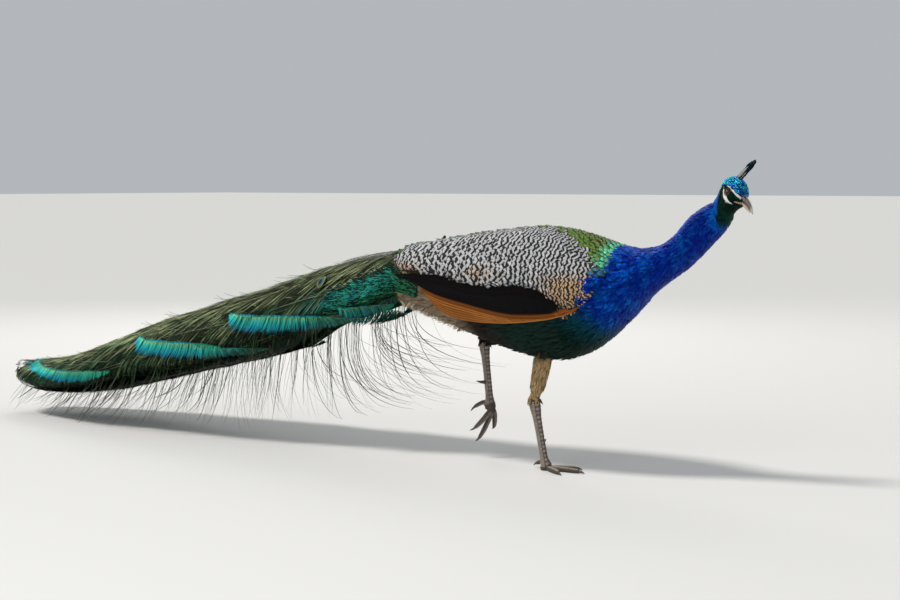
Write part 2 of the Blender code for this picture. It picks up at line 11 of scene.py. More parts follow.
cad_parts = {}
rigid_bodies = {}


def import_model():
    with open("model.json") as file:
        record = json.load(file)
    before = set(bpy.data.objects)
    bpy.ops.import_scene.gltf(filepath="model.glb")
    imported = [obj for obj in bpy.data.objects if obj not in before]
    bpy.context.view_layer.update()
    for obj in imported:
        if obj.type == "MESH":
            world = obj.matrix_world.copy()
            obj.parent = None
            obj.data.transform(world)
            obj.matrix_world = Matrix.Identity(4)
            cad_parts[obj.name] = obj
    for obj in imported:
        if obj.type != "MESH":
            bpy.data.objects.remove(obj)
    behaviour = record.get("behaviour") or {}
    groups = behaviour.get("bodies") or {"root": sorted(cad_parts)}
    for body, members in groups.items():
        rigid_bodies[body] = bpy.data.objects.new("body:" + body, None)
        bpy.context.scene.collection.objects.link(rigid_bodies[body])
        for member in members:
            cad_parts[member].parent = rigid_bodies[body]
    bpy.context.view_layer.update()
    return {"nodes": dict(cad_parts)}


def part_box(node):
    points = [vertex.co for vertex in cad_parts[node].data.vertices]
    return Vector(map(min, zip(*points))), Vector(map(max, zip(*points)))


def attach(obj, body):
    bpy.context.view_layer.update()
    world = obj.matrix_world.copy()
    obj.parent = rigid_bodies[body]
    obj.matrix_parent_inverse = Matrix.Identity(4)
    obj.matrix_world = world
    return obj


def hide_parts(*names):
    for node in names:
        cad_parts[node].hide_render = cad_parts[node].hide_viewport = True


for item in list(bpy.data.objects):
    bpy.data.objects.remove(item, do_unlink=True)
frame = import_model()
nodes = frame["nodes"]
rng = np.random.default_rng(11)
mm = 0.001
sides = {"R": -1.0, "L": 1.0}          # the bird's right is -Y


def centreOf(name):
    low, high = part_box(name)
    return (low + high) / 2


class Wire:                            # a socket that can be used in sums
    def __init__(self, tree, socket):
        self.tree = tree
        self.socket = socket

    def math(self, operation, first, second=0.0, clamp=False):
        node = self.tree.nodes.new("ShaderNodeMath")
        node.operation = operation
        node.use_clamp = clamp
        plug(self.tree, node.inputs[0], first)
        plug(self.tree, node.inputs[1], second)
        return Wire(self.tree, node.outputs[0])

    def __abs__(self):
        return self.math("ABSOLUTE", self)

    def wave(self):                    # 0 to 1 and back over each whole number
        return self.math("SINE", self * (2 * math.pi)) * 0.5 + 0.5

    def above(self, edge, blur):       # a soft step up at the edge
        return self.math("DIVIDE", self - (edge - blur / 2), blur, clamp=True)

    def below(self, edge, blur):
        return 1.0 - self.above(edge, blur)


for sign, operation in {"add": "ADD", "sub": "SUBTRACT", "mul": "MULTIPLY", "truediv": "DIVIDE",
                        "pow": "POWER"}.items():
    setattr(Wire, "__%s__" % sign, lambda left, right, kind=operation: left.math(kind, left, right))
    setattr(Wire, "__r%s__" % sign, lambda right, left, kind=operation: right.math(kind, left, right))


def plug(tree, socket, value):
    if isinstance(value, Wire):
        tree.links.new(value.socket, socket)
    elif hasattr(value, "__len__") and len(value) == 3 and socket.type == "RGBA":
        socket.default_value = (*value, 1.0)
    else:
        socket.default_value = value


class Finish:                          # a material with a Principled shader
    def __init__(self, name, **constants):
        self.material = bpy.data.materials.new(name)
        self.material.use_nodes = True
        self.tree = self.material.node_tree
        self.shader = self.tree.nodes["Principled BSDF"]
        for socket, value in {"Specular_IOR_Level": 0.22, **constants}.items():
            plug(self.tree, self.shader.inputs[socket.replace("_", " ")], value)

    def add(self, kind, settings=None, sockets=None, out=0):
        node = self.tree.nodes.new(kind)
        for key, value in (settings or {}).items():
            setattr(node, key, value)
        for key, value in (sockets or {}).items():
            plug(self.tree, node.inputs[key], value)
        return Wire(self.tree, node.outputs[out])

    def mix(self, factor, first, second, blend="MIX"):
        return self.add("ShaderNodeMix", {"data_type": "RGBA", "blend_type": blend},
                        {"Factor": factor, 6: first, 7: second}, out=2)

    def attribute(self, name, out="Color"):
        return self.add("ShaderNodeAttribute", {"attribute_name": name}, out=out)

    def noise(self, scale, detail=2.0):
        place = self.add("ShaderNodeTexCoord", out="Object")
        return self.add("ShaderNodeTexNoise", {}, {"Scale": scale, "Detail": detail, "Vector": place})

    def vane(self):                    # across (-1 to 1) and along (0 root, 1 tip) a feather
        uv = self.add("ShaderNodeUVMap", {"uv_map": "Vane"})
        parts = self.tree.nodes.new("ShaderNodeSeparateXYZ")
        plug(self.tree, parts.inputs[0], uv)
        return Wire(self.tree, parts.outputs[0]) * 2.0 - 1.0, Wire(self.tree, parts.outputs[1])

    def finish(self, colour, roughness=None, bump=None, depth=0.0002):
        plug(self.tree, self.shader.inputs["Base Color"], colour)
        if roughness is not None:
            plug(self.tree, self.shader.inputs["Roughness"], roughness)
        if bump is not None:
            normal = self.add("ShaderNodeBump", {}, {"Height": bump, "Distance": depth})
            plug(self.tree, self.shader.inputs["Normal"], normal)
        return self.material


def meshArrays(mesh):
    mesh.calc_loop_triangles()
    points = np.zeros(len(mesh.vertices) * 3)
    mesh.vertices.foreach_get("co", points)
    triangles = np.zeros(len(mesh.loop_triangles) * 3, np.int32)
    mesh.loop_triangles.foreach_get("vertices", triangles)
    return points.reshape(-1, 3), triangles.reshape(-1, 3)


def nodePoints(name):
    return meshArrays(nodes[name].data)[0]


def treeOf(names):                     # a search tree over the CAD nodes, and each face's node
    points, faces, owners = [], [], []
    for name in names:
        corners, triangles = meshArrays(nodes[name].data)
        faces.extend((triangles + len(points)).tolist())
        points.extend(corners.tolist())
        owners.extend([name] * len(triangles))
    return BVHTree.FromPolygons(points, faces), owners


def meshOf(name, shape):
    mesh = bpy.data.meshes.new(name)
    shape.to_mesh(mesh)
    shape.free()
    return mesh


def surfaceOf(points, triangles):
    return BVHTree.FromPolygons(points.tolist(), triangles.tolist())


def looseObject(name, content):
    item = bpy.data.objects.new(name, content)
    bpy.context.scene.collection.objects.link(item)
    return item


def addPiece(name, mesh, material, replaced=()):
    item = looseObject(name, mesh)
    mesh.materials.append(material)
    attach(item, "root")
    if replaced:
        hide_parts(*replaced)
    return item


def unit(vectors):
    lengths = np.linalg.norm(vectors, axis=-1, keepdims=True)
    return vectors / np.maximum(lengths, 1e-9)


def turned(first, second, angle):      # the direction at this angle from the first to the second
    return first * math.cos(angle) + second * math.sin(angle)


def fullTurn(count):                   # angles of one round
    return np.linspace(0.0, 2 * math.pi, count, endpoint=False)


def smoothStep(values, low, high):
    share = np.clip((values - low) / (high - low), 0.0, 1.0)
    return share * share * (3 - 2 * share)


def blendColour(first, second, share):
    return np.asarray(first) * (1 - share[..., None]) + np.asarray(second) * share[..., None]


chainNodes = ("head", "neck_upper", "neck_lower", "breast", "trunk", "rump",
              "train_1", "train_2", "train_3", "train_4")
bodyChain = np.array([centreOf("bill_upper")] + [centreOf(name) for name in chainNodes])
bodyChain = np.vstack([bodyChain, [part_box("train_4")[0].x, 0.0, bodyChain[-1][2]]])
legChains = {side: np.array([centreOf("thigh_" + side) + Vector((0.02, 0.0, 0.05)),
                             centreOf("thigh_" + side), centreOf("shank_" + side),
                             centreOf("toe_middle_" + side), centreOf("claw_middle_" + side)])
             for side in sides}


def alongChain(points, chain):         # distance along a line, its direction, and its nearest point
    steps = chain[1:] - chain[:-1]
    lengths = np.linalg.norm(steps, axis=1)
    starts = np.concatenate([[0.0], np.cumsum(lengths)[:-1]])
    best = np.full(len(points), 1e9)
    place = np.zeros(len(points))
    heading = np.zeros((len(points), 3))
    nearest = np.zeros((len(points), 3))
    for start, step, length, first in zip(starts, steps, lengths, chain):
        share = np.clip(((points - first) @ step) / length ** 2, 0.0, 1.0)
        foot = first + share[:, None] * step
        distance = np.linalg.norm(points - foot, axis=1)
        closer = distance < best
        best[closer] = distance[closer]
        place[closer] = start + share[closer] * length
        heading[closer] = step / length
        nearest[closer] = foot[closer]
    return place, heading, nearest


def unwrapped(points, onLeg=None):     # each root's place on the skin laid out flat
    chain = bodyChain if onLeg is None else legChains[onLeg]
    place, heading, nearest = alongChain(points, chain)
    total = np.linalg.norm(chain[1:] - chain[:-1], axis=1).sum()
    out = points - nearest
    side = np.array([0.0, 1.0, 0.0])
    up = unit(np.cross(heading, side))
    angle = np.arctan2(out @ side, -(out * up).sum(axis=1)) / (2 * math.pi) + 0.5
    if onLeg is None:
        return np.column_stack([0.01 + 0.98 * place / total, 0.30 + 0.68 * angle])
    left = 0.02 if onLeg == "R" else 0.52
    return np.column_stack([left + 0.45 * place / total, 0.02 + 0.25 * angle])


def paint(mesh, colours):
    values = np.ones((len(mesh.vertices), 4), np.float32)
    values[:, :3] = np.clip(colours, 0, 1)
    layer = mesh.color_attributes.new("Tint", "FLOAT_COLOR", "POINT")
    layer.data.foreach_set("color", values.reshape(-1))


patchWidth = 0.003                     # each tuft's patch on the OFBake map


def addTufts(name, places, faces, vane, tint, roots, finish, slot, replaced=(), patch=patchWidth,
             extra=None):
    # places: tufts x points x 3; faces and vane: of one tuft; tint: tufts x (points) x 3
    count, size = places.shape[:2]
    mesh = bpy.data.meshes.new(name)
    mesh.vertices.add(count * size)
    mesh.vertices.foreach_set("co", places.reshape(-1).astype(np.float32))
    loops = np.array([corner for face in faces for corner in face])
    sizes = np.array([len(face) for face in faces])
    starts = np.concatenate([[0], np.cumsum(sizes)[:-1]])
    offsets = np.arange(count)[:, None]
    corners = (loops[None, :] + offsets * size).reshape(-1)
    mesh.loops.add(len(corners))
    mesh.loops.foreach_set("vertex_index", corners.astype(np.int32))
    mesh.polygons.add(count * len(faces))
    mesh.polygons.foreach_set("loop_start", (starts[None, :] + offsets * len(loops)).reshape(-1)
                              .astype(np.int32))
    mesh.update(calc_edges=True)
    if tint.ndim == 2:
        tint = np.repeat(tint[:, None, :], size, axis=1)
    paint(mesh, tint.reshape(-1, 3))
    for key, values in {"Luck": rng.random(count), **(extra or {})}.items():
        values = np.repeat(values.astype(np.float32), size)
        mesh.attributes.new(key, "FLOAT", "POINT").data.foreach_set("value", values)
    shape = np.asarray(vane, float)
    across = np.tile(shape, (count, 1))[corners]
    mesh.uv_layers.new(name="Vane").data.foreach_set("uv", across.reshape(-1).astype(np.float32))
    patches = (roots[:, None, :] + (shape[None] - 0.5) * patch).reshape(-1, 2)[corners]
    mesh.uv_layers.new(name="OFBake").data.foreach_set("uv", patches.reshape(-1).astype(np.float32))
    mesh.uv_layers["Vane"].active = True
    mesh.shade_smooth()
    addPiece(name, mesh, finish, replaced)


def leafShape(alongCount, acrossCount, widths):
    # one feather as a grid that closes to a point: (across, along) places and faces, root first
    alongs = np.linspace(0.0, 1.0, alongCount)
    acrosses = np.linspace(-1.0, 1.0, acrossCount)
    shape = [(u * np.interp(v, *widths), v) for v in alongs[:-1] for u in acrosses] + [(0.0, 1.0)]
    vane = [(u / 2 + 0.5, v) for v in alongs[:-1] for u in acrosses] + [(0.5, 1.0)]
    faces = []
    for row in range(alongCount - 2):
        for column in range(acrossCount - 1):
            corner = row * acrossCount + column
            faces.append((corner, corner + 1, corner + acrossCount + 1, corner + acrossCount))
    tip = len(shape) - 1
    faces += [(corner, corner + 1, tip) for corner in range(tip - acrossCount, tip - 1)]
    return np.array(shape), faces, vane


crowding = 3.2                         # tries for each place that a root can have


def scatter(points, triangles, spacing):
    # roots spread over the triangles, no two closer than the spacing given for each triangle
    first, second, third = (points[triangles[:, corner]] for corner in range(3))
    crosses = np.cross(second - first, third - first)
    areas = np.linalg.norm(crosses, axis=1) / 2
    wanted = np.where(spacing > 0, areas * crowding / np.maximum(spacing, 1e-6) ** 2, 0.0)
    chosen = rng.choice(len(triangles), int(wanted.sum()), p=wanted / wanted.sum())
    a, b = rng.random((2, len(chosen)))
    flip = a + b > 1
    a[flip], b[flip] = 1 - a[flip], 1 - b[flip]
    roots = (first[chosen] + a[:, None] * (second - first)[chosen]
             + b[:, None] * (third - first)[chosen])
    tree = KDTree(len(roots))
    for index, root in enumerate(roots):
        tree.insert(root, index)
    tree.balance()
    alive = np.ones(len(roots), bool)
    reach = spacing[chosen]
    for index, root in enumerate(roots):
        if alive[index]:
            for _, other, _ in tree.find_range(root, reach[index]):
                if other > index:
                    alive[other] = False
    return roots[alive], unit(crosses)[chosen][alive], chosen[alive]


def layFeathers(roots, normals, lie, length, width, shape, surface, heights, arch):
    # places of every feather's points, laid along the surface: heights run from root to tip
    along = unit(lie - (lie * normals).sum(axis=1, keepdims=True) * normals)
    across = np.cross(along, normals)
    u, v = shape[:, 0], shape[:, 1]
    flat = (roots[:, None, :] + along[:, None, :] * (v[None, :] * length[:, None])[..., None]
            + across[:, None, :] * (u[None, :] * width[:, None] / 2)[..., None])
    rise = np.interp(v, np.linspace(0.0, 1.0, len(heights[0])), np.arange(len(heights[0])))
    low = np.floor(rise).astype(int)
    high = np.minimum(low + 1, len(heights[0]) - 1)
    share = (rise - low)[None, :]
    lift = heights[:, low] * (1 - share) + heights[:, high] * share
    lift = lift + arch * width[:, None] * (1 - u[None, :] ** 2) * np.minimum(v[None, :] * 3, 1)
    points = flat.reshape(-1, 3)
    lifts = lift.reshape(-1)
    laid = np.empty_like(points)
    for index, point in enumerate(points):
        foot, normal, _, _ = surface.find_nearest(point)
        laid[index] = np.array(foot) + np.array(normal) * lifts[index]
    return laid.reshape(flat.shape)


billLine = {"reach": 59.2, "drop": 17.2}   # mm from the eyes' middle to the tip; degrees below level


def addCoat(name, roots, normals, lie, length, width, leaf, surface, profile, tint, finish, slot,
            arch=0.12, onLeg=None, **settings):
    places = layFeathers(roots, normals, lie, length, width, leaf[0], surface, profile, arch)
    addTufts(name, places, *leaf[1:], tint, unwrapped(roots, onLeg), finish, slot, **settings)
    print(name, len(roots), "feathers")


def headFrame():
    right, left = centreOf("eye_R"), centreOf("eye_L")
    centre = np.array((right + left) / 2)
    across = unit(np.array(left - right))
    corners = nodePoints("bill_upper")
    tip = corners[np.argmax(np.linalg.norm(corners - centre, axis=1))] - centre
    tip = tip - across * (tip @ across)
    reach = np.linalg.norm(tip)
    drop = math.radians(billLine["drop"])
    level = unit(tip)
    upright = np.cross(level, across)
    along = turned(level, upright, drop)
    return centre, np.array([along, across, np.cross(along, across)]), reach / billLine["reach"]


headCentre, headAxes, headUnit = headFrame()


def inHead(points):                    # millimetres in the head's own frame
    return (points - headCentre) @ headAxes.T / headUnit


def fromHead(places):
    return headCentre + np.asarray(places, float) @ headAxes * headUnit


def strip(x, z, line, blur=0.9):       # share inside a line whose points hold x, z and half width
    share = np.zeros(len(x))
    for (x0, z0, w0), (x1, z1, w1) in zip(line, line[1:]):
        run = np.array([x1 - x0, z1 - z0])
        part = np.clip(((x - x0) * run[0] + (z - z0) * run[1]) / (run @ run), 0, 1)
        away = np.hypot(x - x0 - part * run[0], z - z0 - part * run[1]) - (w0 + (w1 - w0) * part)
        share = np.maximum(share, 1 - smoothStep(away, -blur / 2, blur / 2))
    return share


coatDepths = {                         # millimetres of coat over the skin, by CAD node
    "head": 1.1, "neck_upper": 3.2, "neck_lower": 4.2, "breast": 6.0, "trunk": 7.0, "rump": 8.0,
    "wing_coverts_R": 5.0, "wing_coverts_L": 5.0, "thigh_R": 4.5, "thigh_L": 4.5,
    "shank_R": 0.25, "shank_L": 0.25}
toes = ("inner", "middle", "outer", "hallux")
for side in sides:
    coatDepths.update({"toe_%s_%s" % (toe, side): 0.25 for toe in toes})
skinSizes = {"voxel": 0.00125, "overlap": 0.0004, "wingBed": 0.006, "kept": 0.21, "passes": 10,
             "pushes": (0.55, -0.57), "headMargin": 0.010, "legMargin": 0.032}
footBalls = ((0.001, 0.0045), (0.009, 0.0040), (0.018, 0.0022))     # reach along a toe, and radius
heelBalls = ((-0.003, 0.0105), (0.012, 0.0125), (0.026, 0.0125))    # reach up the thigh, and radius
heelShape = np.array([1.0, 0.72, 1.0])


def evaluatedMesh(item):               # the mesh with its modifiers applied; the object goes
    graph = bpy.context.evaluated_depsgraph_get()
    mesh = bpy.data.meshes.new_from_object(item.evaluated_get(graph))
    bpy.data.objects.remove(item)
    return mesh


def averaged(values, edges):           # each vertex's mean of its neighbours
    total = np.zeros_like(values)
    number = np.zeros(len(values))
    for near, far in ((0, 1), (1, 0)):
        number += np.bincount(edges[:, near], minlength=len(values))
        for row, sums in zip(np.atleast_2d(values.T), np.atleast_2d(total.T)):
            sums += np.bincount(edges[:, near], row[edges[:, far]], len(values))
    return (total.T / np.maximum(number, 1)).T


def edgeArray(mesh):
    edges = np.zeros(len(mesh.edges) * 2, np.int32)
    mesh.edges.foreach_get("vertices", edges)
    return edges.reshape(-1, 2)


def vertexNormals(mesh):
    normals = np.zeros(len(mesh.vertices) * 3)
    mesh.vertices.foreach_get("normal", normals)
    return normals.reshape(-1, 3)


def centreLine(name, count):           # points along the middle of a long CAD node, and its length
    points = nodePoints(name)
    middle = points.mean(axis=0)
    way = np.linalg.svd(points - middle)[2][0]
    reach = (points - middle) @ way
    fits = [np.polyfit(reach, points[:, axis], 2) for axis in range(3)]
    steps = np.linspace(reach.min(), reach.max(), count)
    return np.stack([np.polyval(fit, steps) for fit in fits], axis=1), reach.max() - reach.min()


def footWeb(side):                     # the low web between the roots of the front toes
    shape = bmesh.new()
    shank, _ = centreLine("shank_" + side, 2)
    foot = min(shank, key=lambda end: np.linalg.norm(end - np.array(centreOf("toe_middle_" + side))))
    for toe in toes[:3]:
        line, length = centreLine("toe_%s_%s" % (toe, side), 50)
        if np.linalg.norm(line[-1] - foot) < np.linalg.norm(line[0] - foot):
            line = line[::-1]
        for reach, radius in footBalls:
            middle = line[int(reach / length * 49)]
            for way in np.ndindex(3, 3, 3):
                if way != (1, 1, 1):
                    shape.verts.new(middle + unit(np.array(way) - 1.0) * radius)
    return hullMesh(shape)


def heelKnob(side):                    # the feathered heel joint
    shape = bmesh.new()
    shank, _ = centreLine("shank_" + side, 2)
    thigh = np.array(centreOf("thigh_" + side))
    heel = min(shank, key=lambda end: np.linalg.norm(end - thigh))
    way = unit(thigh - heel)
    for reach, radius in heelBalls:
        for turn in np.ndindex(3, 3, 3):
            if turn != (1, 1, 1):
                offset = unit(np.array(turn) - 1.0) * radius * heelShape
                shape.verts.new(heel + way * reach + offset)
    return hullMesh(shape)


def hullMesh(shape):
    hull = bmesh.ops.convex_hull(shape, input=shape.verts)
    spare = [item for item in hull["geom_interior"] + hull["geom_unused"]
             if isinstance(item, bmesh.types.BMVert)]
    bmesh.ops.delete(shape, geom=list(dict.fromkeys(spare)), context="VERTS")
    return meshOf("hull", shape)


def fleshShape():                      # every flesh node, puffed until they overlap
    whole = bmesh.new()
    for name in coatDepths:
        part = bmesh.new()
        part.from_mesh(nodes[name].data)
        bmesh.ops.remove_doubles(part, verts=part.verts, dist=0.00001)
        part.normal_update()
        for vert in part.verts:
            vert.co += vert.normal * skinSizes["overlap"]
            if name.startswith("wing") and vert.normal.y * sides[name[-1]] < 0:
                vert.co.y -= sides[name[-1]] * skinSizes["wingBed"]
        whole.from_mesh(meshOf("part", part))
    for side in sides:
        whole.from_mesh(footWeb(side))
        whole.from_mesh(heelKnob(side))
    return whole


def nearLegs(points, reach):
    near = np.zeros(len(points), bool)
    for chain in legChains.values():
        _, _, foot = alongChain(points, chain[1:])
        near |= np.linalg.norm(points - foot, axis=1) < reach
    return near


eyes = {"radius": 7.35, "cornea": 0.75, "wide": 43.0, "high": 35.0, "open": (0.263, 0.962, -0.066),
        "look": (0.33, 0.943, 0.0), "iris": (0.105, 0.028, 0.014), "white": (0.020, 0.012, 0.009),
        "streaks": (0.03, 0.010, 0.005), "edge": (0.010, 0.007, 0.006), "pupil": (0.001, 0.001, 0.001),
        "corneaEdge": 34.0, "turns": 48, "lidTurns": 56, "lidRises": (0.05, 0.35, 0.85, 1.05, 0.95, 1.0)}


def eyeFrame(side, way):               # an eye's centre and its axis, fore and up directions
    centre = np.array(centreOf("eye_" + side))
    axis = unit(np.array([way[0], way[1] * sides[side], way[2]]) @ headAxes)
    fore = unit(np.array([1.0, 0.0, 0.0]) @ headAxes - axis * (headAxes[0] @ axis))
    return centre, axis, fore, np.cross(axis, fore) * -sides[side]


def addLids(mesh):                     # a thick-edged ring of lid from each eye's rim into the skin
    points, triangles = meshArrays(mesh)
    surface = surfaceOf(points, triangles)
    whole = bmesh.new()
    whole.from_mesh(mesh)
    for side in sides:
        centre, axis, fore, up = eyeFrame(side, eyes["open"])
        ball = eyes["radius"] * headUnit
        rings = []
        for turn in fullTurn(eyes["lidTurns"]):
            way = turned(fore, up, turn)
            edge = 1.0 / math.hypot(math.cos(turn) / eyes["wide"], math.sin(turn) / eyes["high"])

            def direction(tilt):
                return turned(axis, way, math.radians(tilt))

            def skinReach(tilt):
                out = direction(tilt)
                hit = surface.ray_cast(Vector(centre + out * 0.05), Vector(-out))[0]
                return (hit - Vector(centre)).length

            rim = edge + 4.0
            while skinReach(rim) < ball + 0.9 * mm and rim < 100.0:
                rim += 3.0
            far = skinReach(rim + 9.0) - 0.7 * mm
            tilts = (edge + 1.0, edge - 1.5, edge - 0.5, edge + 4.0, edge + 0.5 * (rim - edge) + 2.0,
                     rim + 2.0, rim + 9.0)
            reaches = [ball + height * mm for height in eyes["lidRises"]]
            reaches.append(max(far, ball + 0.3 * mm))
            rings.append([whole.verts.new(centre + direction(tilt) * reach)
                          for tilt, reach in zip(tilts, reaches)])
        for ring, after in zip(rings, rings[1:] + rings[:1]):
            for step in range(len(ring) - 1):
                corners = (ring[step], ring[step + 1], after[step + 1], after[step])
                whole.faces.new(corners if side == "L" else corners[::-1])
    whole.to_mesh(mesh)
    whole.free()


def makeSkin():
    item = looseObject("skinStart", meshOf("skinStart", fleshShape()))
    remesh = item.modifiers.new("remesh", "REMESH")
    remesh.mode = "VOXEL"
    remesh.voxel_size = skinSizes["voxel"]
    mesh = evaluatedMesh(item)
    print("skin remeshed:", len(mesh.vertices))
    item = looseObject("skinDense", mesh)
    points, _ = meshArrays(mesh)
    coarse = points[:, 0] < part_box("head")[0].x + skinSizes["headMargin"]
    coarse &= ~nearLegs(points, skinSizes["legMargin"])
    group = item.vertex_groups.new(name="coarse")
    group.add(np.nonzero(coarse)[0].tolist(), 1.0, "REPLACE")
    decimate = item.modifiers.new("decimate", "DECIMATE")
    decimate.ratio = skinSizes["kept"]
    decimate.vertex_group = "coarse"
    mesh = evaluatedMesh(item)
    points, _ = meshArrays(mesh)
    edges = edgeArray(mesh)
    print("skin thinned:", len(points))

    outline, owners = treeOf(list(coatDepths))
    nearest = [owners[outline.find_nearest(point)[2]] for point in points]
    depth = np.array([coatDepths[name] for name in nearest]) * mm
    soft = smoothStep(depth, 0.5 * mm, 4.0 * mm)
    for _ in range(skinSizes["passes"]):   # the coarse parts lose their facets, the fine ones little
        depth = averaged(depth, edges)
        for push in skinSizes["pushes"]:
            shift = averaged(points, edges) - points
            points = points + shift * push * (0.25 + 0.75 * soft[:, None])
    mesh.vertices.foreach_set("co", points.reshape(-1))
    mesh.update()
    points = points - vertexNormals(mesh) * depth[:, None]
    mesh.vertices.foreach_set("co", points.reshape(-1))
    mesh.update()
    addLids(mesh)
    return mesh, nearest + ["lid"] * (len(mesh.vertices) - len(nearest))


plumage = {                            # linear colours
    "blue": (0.001, 0.024, 0.31), "azure": (0.006, 0.190, 0.73), "violet": (0.010, 0.010, 0.22),
    "teal": (0.004, 0.060, 0.085), "greenBlack": (0.004, 0.021, 0.014),
    "brownBlack": (0.016, 0.012, 0.009), "fluff": (0.23, 0.17, 0.11),
    "throat": (0.004, 0.048, 0.034), "crown": (0.003, 0.030, 0.08),
    "mask": (0.006, 0.007, 0.008), "face": (0.62, 0.60, 0.56), "gape": (0.42, 0.31, 0.22),
    "mantle": (0.12, 0.26, 0.040), "mantleEdge": (0.13, 0.76, 0.44), "bronze": (0.22, 0.16, 0.04),
    "back": (0.06, 0.16, 0.05), "buff": (0.42, 0.285, 0.135), "legSkin": (0.060, 0.048, 0.040)}
browLine = ((-7.0, 10.8, 1.0), (2.0, 10.4, 1.5), (12.0, 6.8, 1.9), (22.0, 2.4, 2.0), (30.0, -2.5, 1.3))
cheekLine = ((-11.6, 5.6, 1.6), (-6.4, -1.4, 2.6), (-0.6, -7.8, 3.5), (6.5, -12.3, 3.4),
             (13.0, -14.2, 2.1), (18.0, -14.4, 0.9))
gapeLine = ((31.0, -8.0, 1.5), (25.0, -8.8, 1.6), (20.5, -9.6, 0.9))
throatEdge = ((-70.0, -51.0, -33.6, -14.2, -4.0), (9.0, 1.0, -6.2, -12.2, -20.0))   # heights, and x
crownSkin = ((-25, -7, 2, 12, 30), (4.0, 11.5, 12.0, 9.0, 1.0))          # x, and heights over it
crownFeathers = ((-25, -7, 2, 12, 30), (4.0, 12.5, 13.0, 10.0, 2.0))
mantleFront = 0.762


def faceMarks(points):                 # shares of white skin and gape
    x, _, z = inHead(points).T
    onFace = (x > -24) & (z > -25)
    white = np.maximum(strip(x, z, browLine), strip(x, z, cheekLine))
    return white * onFace, strip(x, z, gapeLine) * onFace


def markings(points, owners):
    x, y, z = points.T
    p = plumage
    lumps = np.sin(x * 97 + 1.3 * np.sin(z * 71)) * np.sin(y * 83 + z * 61 + 0.7)
    patches = np.sin(x * 263 + 1.9 * np.sin(z * 187)) * np.sin(y * 211 + z * 239 + 1.1 * np.sin(x * 140))
    blue = blendColour(p["blue"], p["azure"], np.clip(0.12 + 0.20 * lumps + 0.30 * patches, 0, 1))
    # painted highlight: the top of the neck is lighter azure, as if lit from above
    high = smoothStep(z, 0.40, 0.47) * smoothStep(x, 0.76, 0.70)
    blue = blendColour(blue, p["azure"], high * 0.5)
    # painted shade: the front of the neck is deeper violet, as if turned from the light
    front = smoothStep(x - 0.9 * (z - 0.42), 0.86, 0.93)
    blue = blendColour(blue, p["violet"], front * 0.35)
    low = (x - 0.70) + 0.9 * (z - 0.30)
    colour = blendColour(p["teal"], blue, smoothStep(low, 0.010, 0.085))
    colour = blendColour(p["greenBlack"], colour, smoothStep(low, -0.050, 0.035))
    colour = blendColour(p["brownBlack"], colour, smoothStep(x + 0.5 * z, 0.62, 0.70))
    rear = smoothStep(x, 0.47, 0.40) * smoothStep(z, 0.40, 0.33)
    colour = blendColour(colour, p["fluff"], rear)

    onBack = smoothStep(mantleFront - x, -0.004, 0.004) * smoothStep(z, 0.395, 0.415)
    mantle = blendColour(p["mantleEdge"], p["mantle"], smoothStep(mantleFront - x, 0.010, 0.032))
    mantle = blendColour(mantle, p["bronze"], 0.35 * (lumps > 0.35))
    mantle = blendColour(mantle, p["back"], smoothStep(x, 0.60, 0.56))
    colour = blendColour(colour, mantle, onBack)

    hx, _, hz = inHead(points).T
    edge = np.interp(hz, *throatEdge)
    dark = smoothStep(hx - edge, -2.0, 2.5) * smoothStep(hz, -70.0, -44.0) * smoothStep(x, 0.93, 0.95)
    throat = blendColour(p["greenBlack"], p["throat"], smoothStep(hx - edge, 3.0, 17.0)
                         * smoothStep(hz, -25.0, -40.0))
    # painted highlight: a band of azure on the front of the neck behind the dark throat
    colour = blendColour(colour, p["azure"], 0.7 * smoothStep(hx - edge, -14.0, 2.0)
                         * smoothStep(hz, -80.0, -50.0) * smoothStep(x, 0.93, 0.95))
    colour = blendColour(colour, throat, dark)
    # painted shade: the skin under the crown feathers is dark so the gaps between them read as shadow
    onHead = smoothStep(hx, -30.0, -22.0) * smoothStep(hz - np.interp(hx, *crownSkin), -0.5, 1.0)
    colour = blendColour(colour, p["crown"], onHead)
    white, gape = faceMarks(points)
    colour = blendColour(colour, p["gape"], gape)
    colour = blendColour(colour, p["face"], white)

    thigh = np.array([name.startswith("thigh") for name in owners])
    shank = np.array([name.startswith(("shank", "toe")) for name in owners])
    colour[thigh] = blendColour(p["buff"], p["brownBlack"],
                                smoothStep(z[thigh], 0.225, 0.245))
    colour[thigh] = blendColour(colour[thigh], p["legSkin"], smoothStep(z[thigh], 0.150, 0.142))
    colour[shank] = p["legSkin"]
    lid = np.array([name == "lid" for name in owners])
    colour[lid] = blendColour(colour[lid], p["mask"], 0.85 - 0.3 * white[lid])
    return colour


def skinFinish():
    finish = Finish("bareSkin", Roughness=0.6)
    grain = finish.noise(900.0, detail=3.0)
    tint = finish.mix(grain * 0.5, finish.attribute("Tint"), (0.5, 0.5, 0.5), "OVERLAY")
    return finish.finish(tint, roughness=0.5 + grain * 0.25, bump=grain)


skinMesh, skinOwners = makeSkin()
skinPoints, skinTriangles = meshArrays(skinMesh)
paint(skinMesh, markings(skinPoints, skinOwners))
skinMesh.shade_smooth()
addPiece("skin", skinMesh, skinFinish(), list(coatDepths))
skinTree = surfaceOf(skinPoints, skinTriangles)
print("skin made:", len(skinTriangles), "triangles")


